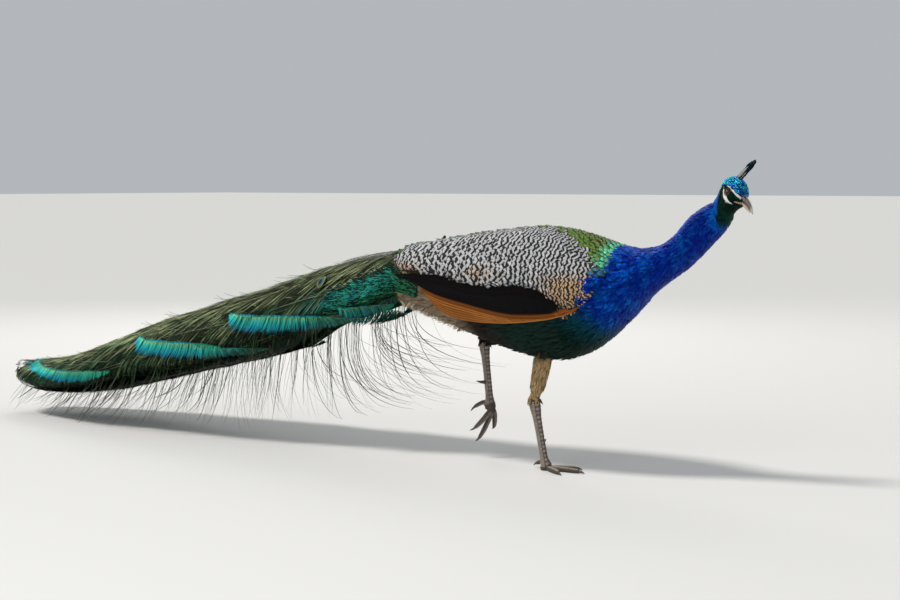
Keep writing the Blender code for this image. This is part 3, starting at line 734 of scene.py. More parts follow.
triangleOwners = np.array(skinOwners)[skinTriangles[:, 0]]
triangleCentres = skinPoints[skinTriangles].mean(axis=1)
wingBendRear = 0.68
wingBend = np.isin(triangleOwners, ("wing_coverts_R", "wing_coverts_L"))
wingBend &= triangleCentres[:, 0] > wingBendRear
triangleOwners[wingBend] = "breast"    # breast feathers run on over the wing's front edge
roundLeaf = leafShape(5, 3, ((0.0, 0.30, 0.60, 0.85, 1.0), (0.45, 0.90, 1.0, 0.78, 0.0)))
slimLeaf = leafShape(5, 3, ((0.0, 0.25, 0.60, 0.85, 1.0), (0.50, 1.0, 0.85, 0.50, 0.0)))
wideLeaf = leafShape(6, 5, ((0.0, 0.25, 0.55, 0.80, 0.93, 1.0), (0.45, 0.85, 1.0, 0.86, 0.55, 0.0)))
quillLeaf = leafShape(26, 7, ((0.0, 0.04, 0.86, 0.95, 0.985, 1.0), (0.6, 1.0, 0.94, 0.66, 0.34, 0.0)))
tailLeaf = leafShape(16, 5, ((0.0, 0.1, 0.7, 0.93, 1.0), (0.35, 0.8, 1.0, 0.7, 0.0)))
spotLeaf = leafShape(9, 9, ((0.0, 0.1, 0.3, 0.55, 0.8, 0.93, 1.0), (0.10, 0.62, 0.95, 1.0, 0.78, 0.5, 0.0)))
fanLeaf = leafShape(7, 5, ((0.0, 0.3, 0.62, 0.86, 1.0), (0.06, 0.5, 1.0, 0.85, 0.0)))
coats = {                              # spacing, length and width in mm, by the skin's own parts
    "head": (1.4, 3.6, 2.3), "neck_upper": (2.7, 10.0, 4.2), "neck_lower": (3.1, 12.0, 5.0),
    "breast": (3.9, 15.5, 6.4), "trunk": (6.2, 24.0, 9.0), "rump": (7.5, 30.0, 11.0),
    "thigh_R": (3.4, 17.0, 4.6), "thigh_L": (3.4, 17.0, 4.6)}


wingLow = ((0.240, 0.394), (0.265, 0.387), (0.390, 0.386), (0.420, 0.374), (0.470, 0.367),
           (0.525, 0.366), (0.570, 0.371), (0.600, 0.368), (0.640, 0.359), (0.662, 0.351),
           (0.670, 0.334), (0.684, 0.323))
wingFront = ((0.320, 0.688), (0.333, 0.709), (0.346, 0.725), (0.367, 0.739), (0.385, 0.742),
             (0.396, 0.745), (0.405, 0.752), (0.420, 0.750), (0.431, 0.732), (0.453, 0.698),
             (0.470, 0.658), (0.482, 0.612), (0.490, 0.560))
wingInner = ((0.25, 0.33, 0.50, 0.70), (0.012, 0.006, 0.004, 0.008))     # x, and y off the middle


def inWing(points, margin=0.0):        # the places that the barred wing feathers cover
    x, y, z = points.T
    return ((z > np.interp(x, *zip(*wingLow)) + margin) & (x > 0.243 + margin)
            & (x < np.interp(z, *zip(*wingFront)) - margin)
            & (np.abs(y) > np.interp(x, *wingInner)))


def onMantle(points):
    return (points[:, 0] < mantleFront) & (points[:, 2] > 0.395)


def featherFinish(name, edge=0.35, roughness=0.42, metallic=0.25, barbs=26.0):
    finish = Finish(name, Metallic=metallic, Specular_IOR_Level=0.10)
    across, along = finish.vane()
    line = (along * barbs + abs(across) * 5.0 + finish.attribute("Luck", "Fac") * 9.0).wave()
    rim = abs(across) ** 3.0 + along ** 6.0
    shade = 1.0 - rim.above(0.75, 0.9) * edge - line * 0.22
    tint = finish.mix(1.0, finish.attribute("Tint"),
                      finish.add("ShaderNodeCombineColor", {}, {"Red": shade, "Green": shade,
                                                                "Blue": shade}), "MULTIPLY")
    return finish.finish(tint, roughness=roughness + line * 0.12, bump=line)


def bodyCoat(name, owners, leaf, sizes, finish, slot, keep=None, legSide=None,
             rise=(0.12, 0.62, 0.85, 1.0), tones=None):
    spacing = np.zeros(len(skinTriangles))
    for owner in owners:
        spacing[triangleOwners == owner] = sizes[owner][0] * mm
    if keep is not None:
        spacing[~keep(triangleCentres)] = 0.0
    roots, normals, faces = scatter(skinPoints, skinTriangles, spacing)
    names = triangleOwners[faces]
    size = np.array([sizes[owner] for owner in names]) * mm
    luck = rng.random((len(roots), 4))
    chain = bodyChain if legSide is None else legChains[legSide]
    _, lie, _ = alongChain(roots, chain)
    lie = lie + np.cross(lie, normals) * (luck[:, :1] - 0.5) * 0.5
    length = size[:, 1] * (0.85 + 0.3 * luck[:, 1])
    width = size[:, 2] * (0.85 + 0.3 * luck[:, 2])
    depth = np.array([coatDepths[owner] for owner in names]) * mm
    profile = np.array(rise) * depth[:, None] * (0.85 + 0.3 * luck[:, 3:])
    tint = markings(roots, names) if tones is None else tones(roots)
    tint = tint * (0.75 + 0.5 * luck[:, :1])
    addCoat(name, roots, normals, lie, length, width, leaf, skinTree, profile, tint, finish, slot,
            onLeg=legSide)


def notFace(points):
    white, gape = faceMarks(points)
    x, _, z = inHead(points).T
    return (white < 0.12) & (gape < 0.15) & (np.hypot(x - 1.0, z) > 7.5)


def onCrown(points):
    x, _, z = inHead(points).T
    return (x > -24) & (z > np.interp(x, *crownFeathers))


crownTones = np.array([(0.006, 0.085, 0.55), (0.020, 0.38, 0.90), (0.060, 0.62, 0.70),
                       (0.030, 0.48, 0.24), (0.012, 0.26, 0.78), (0.003, 0.055, 0.22)])


def crownColour(roots):                # small curled feathers of several blues and greens
    return crownTones[rng.integers(0, len(crownTones), len(roots))]


silk = featherFinish("silkyFeathers", edge=0.30, roughness=0.38, metallic=0.92)
bodyCoat("neckFeathers", ("neck_upper", "neck_lower", "breast"), roundLeaf, coats, silk,
         "neck_feathers", lambda points: ~onMantle(points) & ~inWing(points, 0.013))
bodyCoat("headFeathers", ("head",), roundLeaf, coats, silk, "head_feathers",
         lambda points: notFace(points) & ~onCrown(points))
bodyCoat("crownFeathers", ("head",), roundLeaf, {"head": (1.75, 4.3, 2.0)}, silk, "head_feathers",
         lambda points: notFace(points) & onCrown(points), rise=(0.10, 1.7, 2.7, 1.2), tones=crownColour)
bodyCoat("bellyFeathers", ("trunk", "rump"), slimLeaf, coats,
         featherFinish("softFeathers", roughness=0.7, metallic=0.0), "belly_feathers",
         lambda points: ~onMantle(points) & ~inWing(points, 0.010))
for side in sides:
    bodyCoat("thighFeathers_" + side, ("thigh_" + side,), slimLeaf, coats,
             featherFinish("thighFeathers_" + side, roughness=0.8, metallic=0.0), "thigh_feathers",
             legSide=side)


fluff = {"spacing": 2.8, "length": 46.0, "width": 2.2, "pale": (0.82, 0.70, 0.52),
         "dark": (0.20, 0.135, 0.085)}


def makeFluff():                       # long loose down under the rump
    x, y, z = triangleCentres.T
    low = (x > 0.245) & (x < 0.385) & (z < 0.352 - 0.45 * (x - 0.25)) & (np.abs(y) < 0.095)
    low &= np.array([name in ("trunk", "rump") for name in triangleOwners])
    roots, normals, _ = scatter(skinPoints, skinTriangles, np.where(low, fluff["spacing"] * mm, 0.0))
    luck = rng.random((len(roots), 5))
    lie = np.stack([-0.6 - 0.6 * luck[:, 0], 0.5 * (luck[:, 1] - 0.5), -0.5 - 0.5 * luck[:, 2]], axis=1)
    length = fluff["length"] * mm * (0.5 + 0.7 * luck[:, 3]) * smoothStep(roots[:, 0], 0.39, 0.33)
    profile = np.array([0.3, 5.0, 10.0, 14.0]) * mm * (0.5 + 0.8 * luck[:, 4:])
    width = np.full(len(roots), fluff["width"] * mm)
    tint = blendColour(fluff["dark"], fluff["pale"], luck[:, 1])
    addCoat("fluff", roots, normals, lie, length + 0.008, width, slimLeaf, skinTree, profile, tint,
            featherFinish("fluff", edge=0.1, roughness=0.85, metallic=0.0), "belly_feathers")


makeFluff()


def scaleFinish(name, edge, centre):
    finish = Finish(name, Metallic=0.5)
    across, along = finish.vane()
    luck = finish.attribute("Luck", "Fac")
    out = (abs(across) ** 2.0 * 0.8 + ((along - 0.35) * 1.45) ** 2.0)
    line = (along * 30.0 + abs(across) * 7.0 + luck * 9.0).wave()
    tint = finish.mix(out.above(0.62, 0.25), finish.attribute("Tint"), edge)
    tint = finish.mix(out.below(0.16, 0.22) * (0.3 + luck * 0.5), tint, centre)
    tint = finish.mix(line * 0.35, tint, (0.004, 0.008, 0.004))
    return finish.finish(tint, roughness=0.32 + line * 0.15, bump=line)


scaleRows = {                          # owners, sizes in mm, two colours, both ends, gap to the wing
    "mantleScales": (("trunk", "breast", "neck_lower"), (6.0, 16.0, 11.0), (0.006, 0.016, 0.006),
                     (0.26, 0.20, 0.04), (0.585, mantleFront), 0.008),
    "backScales": (("trunk", "rump"), (9.0, 27.0, 19.0), (0.008, 0.018, 0.008),
                   (0.20, 0.17, 0.04), (-1.0, 0.595), 0.0)}
for name, (owners, sizes, edge, centre, (rear, front), margin) in scaleRows.items():
    bodyCoat(name, owners, wideLeaf, {owner: sizes for owner in owners}, scaleFinish(name, edge, centre),
             "belly_feathers", lambda points: onMantle(points) & (points[:, 0] > rear)
             & (points[:, 0] < front) & ~inWing(points, margin))


wing = {"pale": (0.49, 0.49, 0.50), "buff": (0.52, 0.33, 0.17),
        "bar": (0.008, 0.008, 0.009), "black": (0.0022, 0.0020, 0.0022),
        "rufous": (0.31, 0.088, 0.012), "rufousRim": (0.50, 0.20, 0.050)}
wingEdges = {                          # heights over x: under the coverts, secondaries, primaries
    "coverts": wingLow,
    "secondaries": ((0.288, 0.374), (0.335, 0.357), (0.387, 0.343), (0.437, 0.335), (0.500, 0.324),
                    (0.560, 0.316), (0.632, 0.319), (0.665, 0.324), (0.690, 0.332)),
    "primaries": ((0.318, 0.350), (0.334, 0.336), (0.363, 0.311), (0.405, 0.299), (0.466, 0.295),
                  (0.535, 0.296), (0.592, 0.301), (0.644, 0.308), (0.677, 0.316), (0.704, 0.329))}


def edgeHeight(name, x):
    xs, zs = zip(*wingEdges[name])
    return np.interp(x, xs, zs)


coverts = {                            # sizes in mm: plain, less in front, less above, more by luck
    "length": (33.0, 13.0, 8.0, 5.0), "width": (21.0, 8.0, 4.0, 3.0),
    "spacing": (9.0, 3.5), "bar": 15.0, "stripe": 9.0, "patch": 0.006, "arch": 0.06,
    "slope": ((0.25, 0.45, 0.62, 0.76), (-0.20, -0.03, 0.10, 0.02)),
    "tip": (0.50, 0.47, 0.44), "fine": (0.02, 0.02, 0.02), "shaft": (0.05, 0.04, 0.03)}


def barredFinish():
    finish = Finish("barredFeathers")
    across, along = finish.vane()
    luck = finish.attribute("Luck", "Fac")
    wobble = finish.noise(160.0)
    phase = along * finish.attribute("Bars", "Fac") + finish.attribute("Phase", "Fac")
    bar = (phase - abs(across) * (0.42 + luck * 0.22) + wobble * 0.35).wave()
    fine = (along * 70.0 + abs(across) * 16.0).wave()
    tint = finish.mix(bar.above(0.47, 0.26), finish.attribute("Tint"), wing["bar"])
    tint = finish.mix(along.above(0.95, 0.06) * 0.6, tint, coverts["tip"])
    tint = finish.mix(fine * 0.10, tint, coverts["fine"])
    tint = finish.mix(abs(across).below(0.05, 0.03) * 0.5, tint, coverts["shaft"])
    return finish.finish(tint, roughness=0.62 + bar * 0.1, bump=fine)


def makeCoverts(side):
    x, y, z = triangleCentres.T
    covered = inWing(triangleCentres) & (y * sides[side] > 0)
    lowFront = smoothStep(x, 0.63, 0.70) * smoothStep(z, 0.40, 0.37)
    wide, closer = coverts["spacing"]
    spacing = np.where(covered, (wide - closer * lowFront) * mm, 0.0)
    roots, normals, faces = scatter(skinPoints, skinTriangles, spacing)
    luck = rng.random((len(roots), 5))
    x, y, z = roots.T
    front = smoothStep(x, 0.62, 0.70) * smoothStep(z, 0.405, 0.375)
    upper = smoothStep(x, 0.60, 0.72) * (1 - front)
    length, width = ((plain - less * front - lessAbove * upper + more * luck[:, column]) * mm
                     for column, (plain, less, lessAbove, more)
                     in enumerate((coverts["length"], coverts["width"])))
    lie = np.tile([-1.0, 0.0, 0.0], (len(roots), 1))
    slope = np.interp(x, *coverts["slope"])
    lie[:, 2] = slope + 0.12 * (luck[:, 2] - 0.5) - 0.55 * front * smoothStep(z, 0.375, 0.33)
    depth = np.array([min(coatDepths[name], 6.0) for name in triangleOwners[faces]])[:, None]
    profile = np.array([0.10, 0.60, 0.84, 1.0]) * depth * mm * (0.8 + 0.35 * luck[:, 3:4])
    warm = np.clip(front * 1.1 + 0.8 * smoothStep(x, 0.38, 0.30) * smoothStep(z, 0.425, 0.405), 0, 1)
    warm = np.maximum(warm, 0.75 * np.exp(-(((x - 0.515) / 0.036) ** 2 + ((z - 0.396) / 0.011) ** 2)))
    tint = blendColour(wing["pale"], wing["buff"], warm) * (0.88 + 0.2 * luck[:, 1:2])
    period = (coverts["bar"] - 5.5 * smoothStep(x, 0.50, 0.68) - 2.0 * front - 5.5 * smoothStep(x, 0.36, 0.27)
              - 3.5 * smoothStep(z, 0.44, 0.47)) * (0.92 + 0.16 * luck[:, 4])
    stripe = x / mm / coverts["stripe"] + 0.28 * (luck[:, 2] - 0.5)
    addCoat("wingCoverts_" + side, roots, normals, lie, length, width, wideLeaf, skinTree, profile, tint,
            barred, "barred_feathers", arch=coverts["arch"], patch=coverts["patch"],
            extra={"Bars": length / mm / period, "Phase": -stripe})


bodySides, _ = treeOf(["trunk", "rump", "breast"])


def flankPoint(tree, x, z, side):      # the point at x and z on the flank of a shape
    hit = tree.ray_cast((x, sides[side] * 0.5, z), (0.0, -sides[side], 0.0))[0]
    if hit is None:
        hit = tree.find_nearest((x, sides[side] * 0.06, z))[0]
    return hit


quills = {                             # rows of long feathers: x of their roots and of their tips
    "secondaries": {"above": "coverts", "count": 8, "front": 0.668, "rears": (0.254, 0.305),
                    "out": 0.0042, "width": 0.022, "tone": wing["black"], "fade": (1.0, 0.0),
                    "rim": (0.006, 0.006, 0.007), "slot": "black_feathers"},
    "primaries": {"above": "secondaries", "count": 6, "front": 0.706, "rears": (0.322, 0.350),
                  "out": 0.0018, "width": 0.015, "tone": wing["rufous"], "fade": (0.75, 0.35),
                  "rim": wing["rufousRim"], "slot": "rufous_feathers"}}


def makeQuills(name, side, finish):    # each feather lies partly under the one above
    row = quills[name]
    shape, faces, vane = quillLeaf
    stations = np.linspace(0.0, 1.0, 45)
    places, colours, roots = [], [], []
    for share in np.arange(row["count"]) / (row["count"] - 1):
        rear = np.interp(share, (0, 1), row["rears"]) + 0.006 * (rng.random() - 0.5)
        x = row["front"] + (rear - row["front"]) * stations
        top, base = edgeHeight(row["above"], x) + 0.003, edgeHeight(name, x)
        half = np.minimum(row["width"] / 2, np.maximum(top - base, 0.004) / 2)
        middle = (top - half) * (1 - share) + (base + half) * share
        for _ in range(6):             # one smooth sweep
            middle[1:-1] = (middle[:-2] + 2 * middle[1:-1] + middle[2:]) / 4
        feather = []
        for u, v in shape:
            px, z, reach = (np.interp(v, stations, line) for line in (x, middle, half))
            lift = row["out"] + 0.0028 * (u + 1) / 2 + 0.0010 * (1 - u * u) + 0.0008 * v
            beside = flankPoint(bodySides, px, z - u * reach, side)
            feather.append((px, beside.y + sides[side] * lift, z - u * reach))
        places.append(feather)
        colours.append(np.array(row["tone"]) * (row["fade"][0] + row["fade"][1] * share))
        roots.append(feather[0])
    places = np.array(places)
    if side == "R":                    # the web's faces look outwards on both wings
        faces = [face[::-1] for face in faces]
    addTufts(name + "_" + side, places, faces, vane, np.array(colours), unwrapped(np.array(roots)),
             finish, row["slot"], ["wing_%s_%s" % (name, side)], patch=0.02)


def quillFinish(name, rim):
    finish = Finish(name, Specular_IOR_Level=0.04)
    across, along = finish.vane()
    line = (along * 260.0 + abs(across) * 34.0).wave()
    broad = finish.noise(26.0, detail=3.0)
    tint = finish.mix(across.above(0.72, 0.25), finish.attribute("Tint"), rim)
    tint = finish.mix(abs(across + 0.1).below(0.05, 0.03) * 0.6, tint, rim)
    tint = finish.mix(line * 0.10 + broad * 0.30, tint, (0.006, 0.003, 0.002))
    return finish.finish(tint, roughness=0.45 + line * 0.15, bump=line)


barred = barredFinish()
quillFinishes = {name: quillFinish(name, quills[name]["rim"]) for name in quills}
for side in sides:
    makeCoverts(side)
    for name in quills:
        makeQuills(name, side, quillFinishes[name])
print("wings made")


def eyeFinish():
    finish = Finish("eyes", Roughness=0.30, Coat_Weight=0.30, Coat_Roughness=0.03)
    out = finish.attribute("Iris", "Fac")
    streaks = finish.noise(2600.0, detail=3.0)
    tint = finish.mix(streaks * 0.6, eyes["iris"], eyes["streaks"])
    tint = finish.mix(out.above(0.47, 0.08), tint, eyes["edge"])
    tint = finish.mix(out.above(0.60, 0.06), tint, eyes["white"])
    tint = finish.mix(out.below(0.22, 0.03), tint, eyes["pupil"])
    return finish.finish(tint)


def bridge(shape, rings):              # a closed body through rings of points; a pole is a ring of one
    turns = max(len(ring) for ring in rings)
    for ring, after in zip(rings, rings[1:]):
        for step in range(turns):
            corners = [ring[step % len(ring)], after[step % len(after)],
                       after[(step + 1) % len(after)], ring[(step + 1) % len(ring)]]
            shape.faces.new(list(dict.fromkeys(corners)))
    for end in (rings[0], rings[-1][::-1]):
        if len(end) > 1:
            shape.faces.new(end)
    bmesh.ops.recalc_face_normals(shape, faces=shape.faces)


def makeEye(side, finish):
    centre, axis, fore, up = eyeFrame(side, eyes["look"])
    tilts = np.radians(np.concatenate([np.arange(0, 60, 2.5), np.arange(60, 181, 8.0)]))
    shape = bmesh.new()
    rings = []
    for tilt in tilts[:-1]:
        bulge = eyes["cornea"] * (1 - min(1.0, math.degrees(tilt) / eyes["corneaEdge"]) ** 2) ** 2
        reach = (eyes["radius"] + bulge) * headUnit
        turns = fullTurn(eyes["turns"]) if tilt > 0 else [0.0]
        rings.append([shape.verts.new(centre + reach * turned(axis, turned(fore, up, turn), tilt))
                      for turn in turns])
    rings.append([shape.verts.new(centre - axis * eyes["radius"] * headUnit)])
    bridge(shape, rings)
    mesh = meshOf("eyeball_" + side, shape)
    values = [tilt / (math.pi / 2) for tilt, ring in zip(list(tilts[:-1]) + [math.pi], rings)
              for _ in ring]
    mesh.attributes.new("Iris", "FLOAT", "POINT").data.foreach_set("value", values)
    mesh.shade_smooth()
    addPiece("eyeball_" + side, mesh, finish, ["eye_" + side])


eyeGloss = eyeFinish()
for side in sides:
    makeEye(side, eyeGloss)
print("eyes made")


horn = {"side": (0.085, 0.054, 0.050), "ridgeHighlight": (0.74, 0.70, 0.69), "under": (0.50, 0.38, 0.26),
        "nostril": (0.006, 0.005, 0.005), "cere": (0.66, 0.64, 0.61), "claw": (0.060, 0.050, 0.043),
        "clawTip": (0.020, 0.018, 0.016), "creaseAngle": 1.15, "crease": 0.9,
        "top": ((26.2, 32.5, 40.5, 48.0, 53.6, 56.5), (8.2, 6.4, 2.2, -3.4, -9.6, -15.0)),
        "wide": ((26.2, 40.5, 53.6, 56.5), (5.9, 4.4, 1.9, 0.5)),
        "mouth": ((26, 34, 42, 50, 56), (-2.9, -5.2, -8.4, -12.4, -17.0))}


def rounded(names, levels):            # one smooth mesh of several CAD nodes
    shape = bmesh.new()
    for name in names:
        shape.from_mesh(nodes[name].data)
    bmesh.ops.remove_doubles(shape, verts=shape.verts, dist=0.00001)
    crease = shape.edges.layers.float.new("crease_edge")
    for edge in shape.edges:
        if len(edge.link_faces) == 2 and edge.calc_face_angle() > horn["creaseAngle"]:
            edge[crease] = horn["crease"]
    item = looseObject(names[0], meshOf(names[0], shape))
    smooth = item.modifiers.new("smooth", "SUBSURF")
    smooth.levels = smooth.render_levels = levels
    mesh = evaluatedMesh(item)
    mesh.shade_smooth()
    return mesh


def hornFinish(name, roughness, grain=900.0):
    finish = Finish(name, Specular_IOR_Level=0.4)
    lines = finish.noise(grain, detail=4.0)
    tint = finish.mix(lines * 0.45, finish.attribute("Tint"), (0.10, 0.085, 0.075))
    return finish.finish(tint, roughness=roughness + lines * 0.15, bump=lines, depth=0.00012)


def makeBill():
    finish = hornFinish("billHorn", 0.34)
    mesh = rounded(["bill_upper"], 3)
    points, _ = meshArrays(mesh)
    x, y, z = inHead(points).T
    top, wide, mouth = (np.interp(x, *horn[key]) for key in ("top", "wide", "mouth"))
    # painted highlight: a pale stroke along the culmen's ridge, and fainter over the tip
    ridgeHighlight = smoothStep(np.abs(y) / wide, 0.55, 0.15) * smoothStep(top - z, 3.5, 0.8)
    tint = blendColour(horn["side"], horn["ridgeHighlight"], ridgeHighlight)
    tint = blendColour(tint, horn["ridgeHighlight"], 0.5 * smoothStep(x, 46.0, 54.0))
    flecks = np.sin(x * 2.9 + np.sin(z * 2.3)) * np.sin(z * 3.1 + y)
    tint = blendColour(tint, horn["cere"], smoothStep(x, 33.5, 29.0) * (0.55 + 0.45 * flecks))
    hole = np.hypot((x - 31.5) / 3.4, (z - 1.2 + 0.45 * (x - 31.0)) / 1.5)
    tint = blendColour(tint, horn["nostril"], smoothStep(hole, 1.15, 0.75))
    # painted shade: the upper bill darkens along its edge at the mouth's crease, in the nostril colour
    tint = blendColour(tint, horn["nostril"], 0.45 * smoothStep(z - mouth, 0.9, 0.2))
    paint(mesh, tint)
    addPiece("billTop", mesh, finish, ["bill_upper"])
    makeBristles(*meshArrays(mesh))
    mesh = rounded(["bill_lower"], 3)
    points, _ = meshArrays(mesh)
    paint(mesh, blendColour(horn["under"], horn["side"], 0.4 * smoothStep(
        inHead(points)[:, 0], 32.0, 27.0)))
    addPiece("billBase", mesh, finish, ["bill_lower"])


bristles = {"spacing": 0.95, "width": 0.85, "length": (1.4, 2.2), "black": (0.008, 0.008, 0.008)}


def makeBristles(points, triangles):   # small stiff feathers over the root of the upper bill
    middle = points[triangles].mean(axis=1)
    x, _, z = inHead(middle).T
    spacing = np.where((x < 31.0) & (z > -2.0), bristles["spacing"] * mm, 0.0)
    roots, normals, _ = scatter(points, triangles, spacing)
    luck = rng.random((len(roots), 4))
    lie = np.tile(headAxes[0], (len(roots), 1)) + 0.5 * (luck[:, :3] - 0.5)
    reach = (bristles["length"][0] + bristles["length"][1] * luck[:, 0]) * mm
    profile = np.array([0.05, 0.30, 0.45, 0.50]) * mm * (0.7 + 0.9 * luck[:, 1:2])
    width = np.full(len(roots), bristles["width"] * mm)
    x, y, _ = inHead(roots).T
    dark = luck[:, 2] < 0.30 + 0.5 * smoothStep(np.abs(y), 1.0, 3.4) - 0.3 * (x > 29.5)
    tint = np.where(dark[:, None], bristles["black"], horn["cere"])
    addCoat("bristles", roots, normals, lie, reach, width, slimLeaf, surfaceOf(points, triangles), profile,
            tint, featherFinish("bristles", edge=0.1, roughness=0.6, metallic=0.0), "head_feathers")


def makeClaws(side, finish):
    names = ["claw_%s_%s" % (toe, side) for toe in toes] + ["spur_" + side]
    mesh = rounded(names, 2)
    points, _ = meshArrays(mesh)
    far = np.zeros(len(points))
    for name in names:
        middle = nodePoints(name).mean(axis=0)
        root = np.array(centreOf("shank_" + side if name.startswith("spur")
                                 else name.replace("claw", "toe")))
        way = unit(middle - root)
        near = np.linalg.norm(points - middle, axis=1) < 0.020
        reach = (points - middle) @ way
        far[near] = np.clip(reach[near] / 0.006, -1, 1) * 0.5 + 0.5
        points[near] -= way * 0.6 * mm     # the claw's root sits in the toe
    mesh.vertices.foreach_set("co", points.reshape(-1))
    paint(mesh, blendColour(horn["claw"], horn["clawTip"], far))
    addPiece("claws_" + side, mesh, finish, names)


makeBill()
clawHorn = hornFinish("clawHorn", 0.38)
for side in sides:
    makeClaws(side, clawHorn)
print("bill and claws made")


scutes = {"tone": (0.34, 0.275, 0.215), "dark": (0.19, 0.155, 0.125),
          "front": {"length": 8.6, "half": 28.0, "start": 8.0, "turns": (-27.0, 27.0)},
          "back": {"length": 3.6, "half": 19.0, "start": 7.0,
                   "turns": (75.0, 107.0, 139.0, 180.0, 221.0, 253.0, 285.0)},
          "toe": {"length": 2.7, "half": 56.0, "start": 2.0}, "lifted": (0.927, 0.0, -0.375)}


def scutePlates(places):               # rows of centre, ahead, out, length and half angle
    alongs, arounds = np.linspace(-1, 1, 5), np.linspace(-1, 1, 5)
    plates = []
    for centre, ahead, out, length, half in places:
        beside = np.cross(ahead, out)
        plate = []
        for b in alongs:
            for a in arounds:
                turn = math.radians(half) * a * (1 - 0.28 * b * b)
                way = turned(out, beside, turn)
                point = centre + ahead * (b * (1 - 0.16 * a * a) * length / 2)
                foot = skinTree.ray_cast(Vector(point + way * 0.02), Vector(-way))[0]
                if foot is None:
                    foot = Vector(point)
                lift = -0.00015 + 0.00085 * (1 - a ** 4) * (1 - b ** 4)
                plate.append(np.array(foot) + way * lift)
        plates.append(plate)
    faces = [(row * 5 + column, row * 5 + column + 1, row * 5 + column + 6, row * 5 + column + 5)
             for row in range(4) for column in range(4)]
    vane = [(a / 2 + 0.5, b / 2 + 0.5) for b in alongs for a in arounds]
    return np.array(plates), faces, vane


def makeScutes(side):
    places = []
    line, length = centreLine("shank_" + side, 200)
    if line[0, 2] < line[-1, 2]:
        line = line[::-1]
    heading = unit(np.gradient(line, axis=0))

    for row in (scutes["front"], scutes["back"]):
        size = row["length"]
        for number, turn in enumerate(row["turns"]):
            for place in np.arange(row["start"] + number % 2 / 2 * size, length / mm - 9.0, size):
                step = int(place * mm / length * 199)
                ahead = heading[step]
                front = unit(np.array([1.0, 0.0, 0.0]) - ahead * ahead[0])
                beside = np.cross(ahead, front)
                out = turned(front, beside, math.radians(turn))
                places.append((line[step], ahead, out, size * 1.04 * mm, row["half"]))
    row = scutes["toe"]
    for toe in toes:
        line, length = centreLine("toe_%s_%s" % (toe, side), 60)
        heading = unit(np.gradient(line, axis=0))
        up = np.array([0.0, 0.0, 1.0]) if side == "R" else np.array(scutes["lifted"])
        for place in np.arange(row["start"], length / mm - 1.0, row["length"]):
            step = int(place * mm / length * 59)
            out = unit(up - heading[step] * (heading[step] @ up))
            places.append((line[step], heading[step], out, row["length"] * 1.02 * mm, row["half"]))
    plates, faces, vane = scutePlates(places)
    outward = np.cross(plates[0][1] - plates[0][0], plates[0][5] - plates[0][0]) @ places[0][2]
    if outward < 0:
        faces = [face[::-1] for face in faces]
    luck = rng.random(len(plates))
    tint = blendColour(scutes["dark"], scutes["tone"], 0.25 + 0.75 * luck)
    front = np.array([place[3] > 0.007 for place in places])
    edge = np.repeat(np.array([0.75, 0.35, 0.0, 0.25, 0.85]), 5)
    gaps = np.where(front[:, None], 0.92 * edge, 0.45 * edge)
    tint = tint[:, None] * (1 - gaps[..., None])
    addTufts("scutes_" + side, plates, faces, vane, tint, unwrapped(plates[:, 12], side), scuteFinish,
             "scaled_skin")
    print("scutes", side, len(plates))


scuteFinish = hornFinish("scutes", 0.5, 500.0)
for side in sides:
    makeScutes(side)


train = {"front": 0.40, "rear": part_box("train_4")[0].x + 0.002, "count": 270, "barbStep": 0.0046,
         "barbLength": 0.050, "barbWidth": 0.0020, "reach": 150.0, "tuck": 0.50, "firstEnd": 0.20,
         "firstStart": 0.06, "length": 0.42, "drift": 14.0, "shaft": (0.0011, 0.0003), "shaftSteps": 26,
         "paleShafts": 0.86, "pieces": 4, "stations": 90, "turns": 72,
         "tuckAround": (96.0, 115.0), "tuckAlong": (0.375, 0.300), "middle": 0.35}
trainLength = train["front"] - train["rear"]
trainTree, _ = treeOf(["rump", "train_1", "train_2", "train_3", "train_4"])


def trainGrid():                       # radii of the train round its own middle line
    stations, turns = train["stations"], train["turns"]
    middles, radii, full = (np.zeros((stations, width)) for width in (3, turns, turns))
    for row, share in enumerate(np.linspace(0.0, 1.0, stations)):
        x = train["front"] - share * trainLength
        x = max(x, train["rear"] + 0.001)
        top = trainTree.ray_cast((x, 0.0, 1.0), (0.0, 0.0, -1.0))[0].z
        base = trainTree.ray_cast((x, 0.0, -1.0), (0.0, 0.0, 1.0))[0].z
        middles[row] = (x, 0.0, base + train["middle"] * (top - base))
        for column in range(turns):
            angle = 2 * math.pi * column / turns
            way = Vector((0.0, math.sin(angle), math.cos(angle)))
            hit = trainTree.ray_cast(Vector(middles[row]) + way, -way)[0]
            radii[row, column] = (hit - Vector(middles[row])).length
        full[row] = radii[row]
        away = np.abs((np.degrees(2 * math.pi * np.arange(turns) / turns) + 180) % 360 - 180)
        radii[row] *= 1 - (train["tuck"] * smoothStep(away, *train["tuckAround"])
                           * smoothStep(share, *train["tuckAlong"]))
    return middles, radii, full


trainMiddles, trainRadii, fullRadii = trainGrid()


def trainRadius(share, angle):
    row = np.clip(share, 0.0, 0.9999) * (len(trainMiddles) - 1)
    column = (angle / (2 * math.pi) % 1.0) * trainRadii.shape[1]
    r0, c0 = np.floor(row).astype(int), np.floor(column).astype(int) % trainRadii.shape[1]
    c1 = (c0 + 1) % trainRadii.shape[1]
    fr, fc = row - r0, column - np.floor(column)
    low = trainRadii[r0, c0] * (1 - fc) + trainRadii[r0, c1] * fc
    high = trainRadii[r0 + 1, c0] * (1 - fc) + trainRadii[r0 + 1, c1] * fc
    return low * (1 - fr) + high * fr


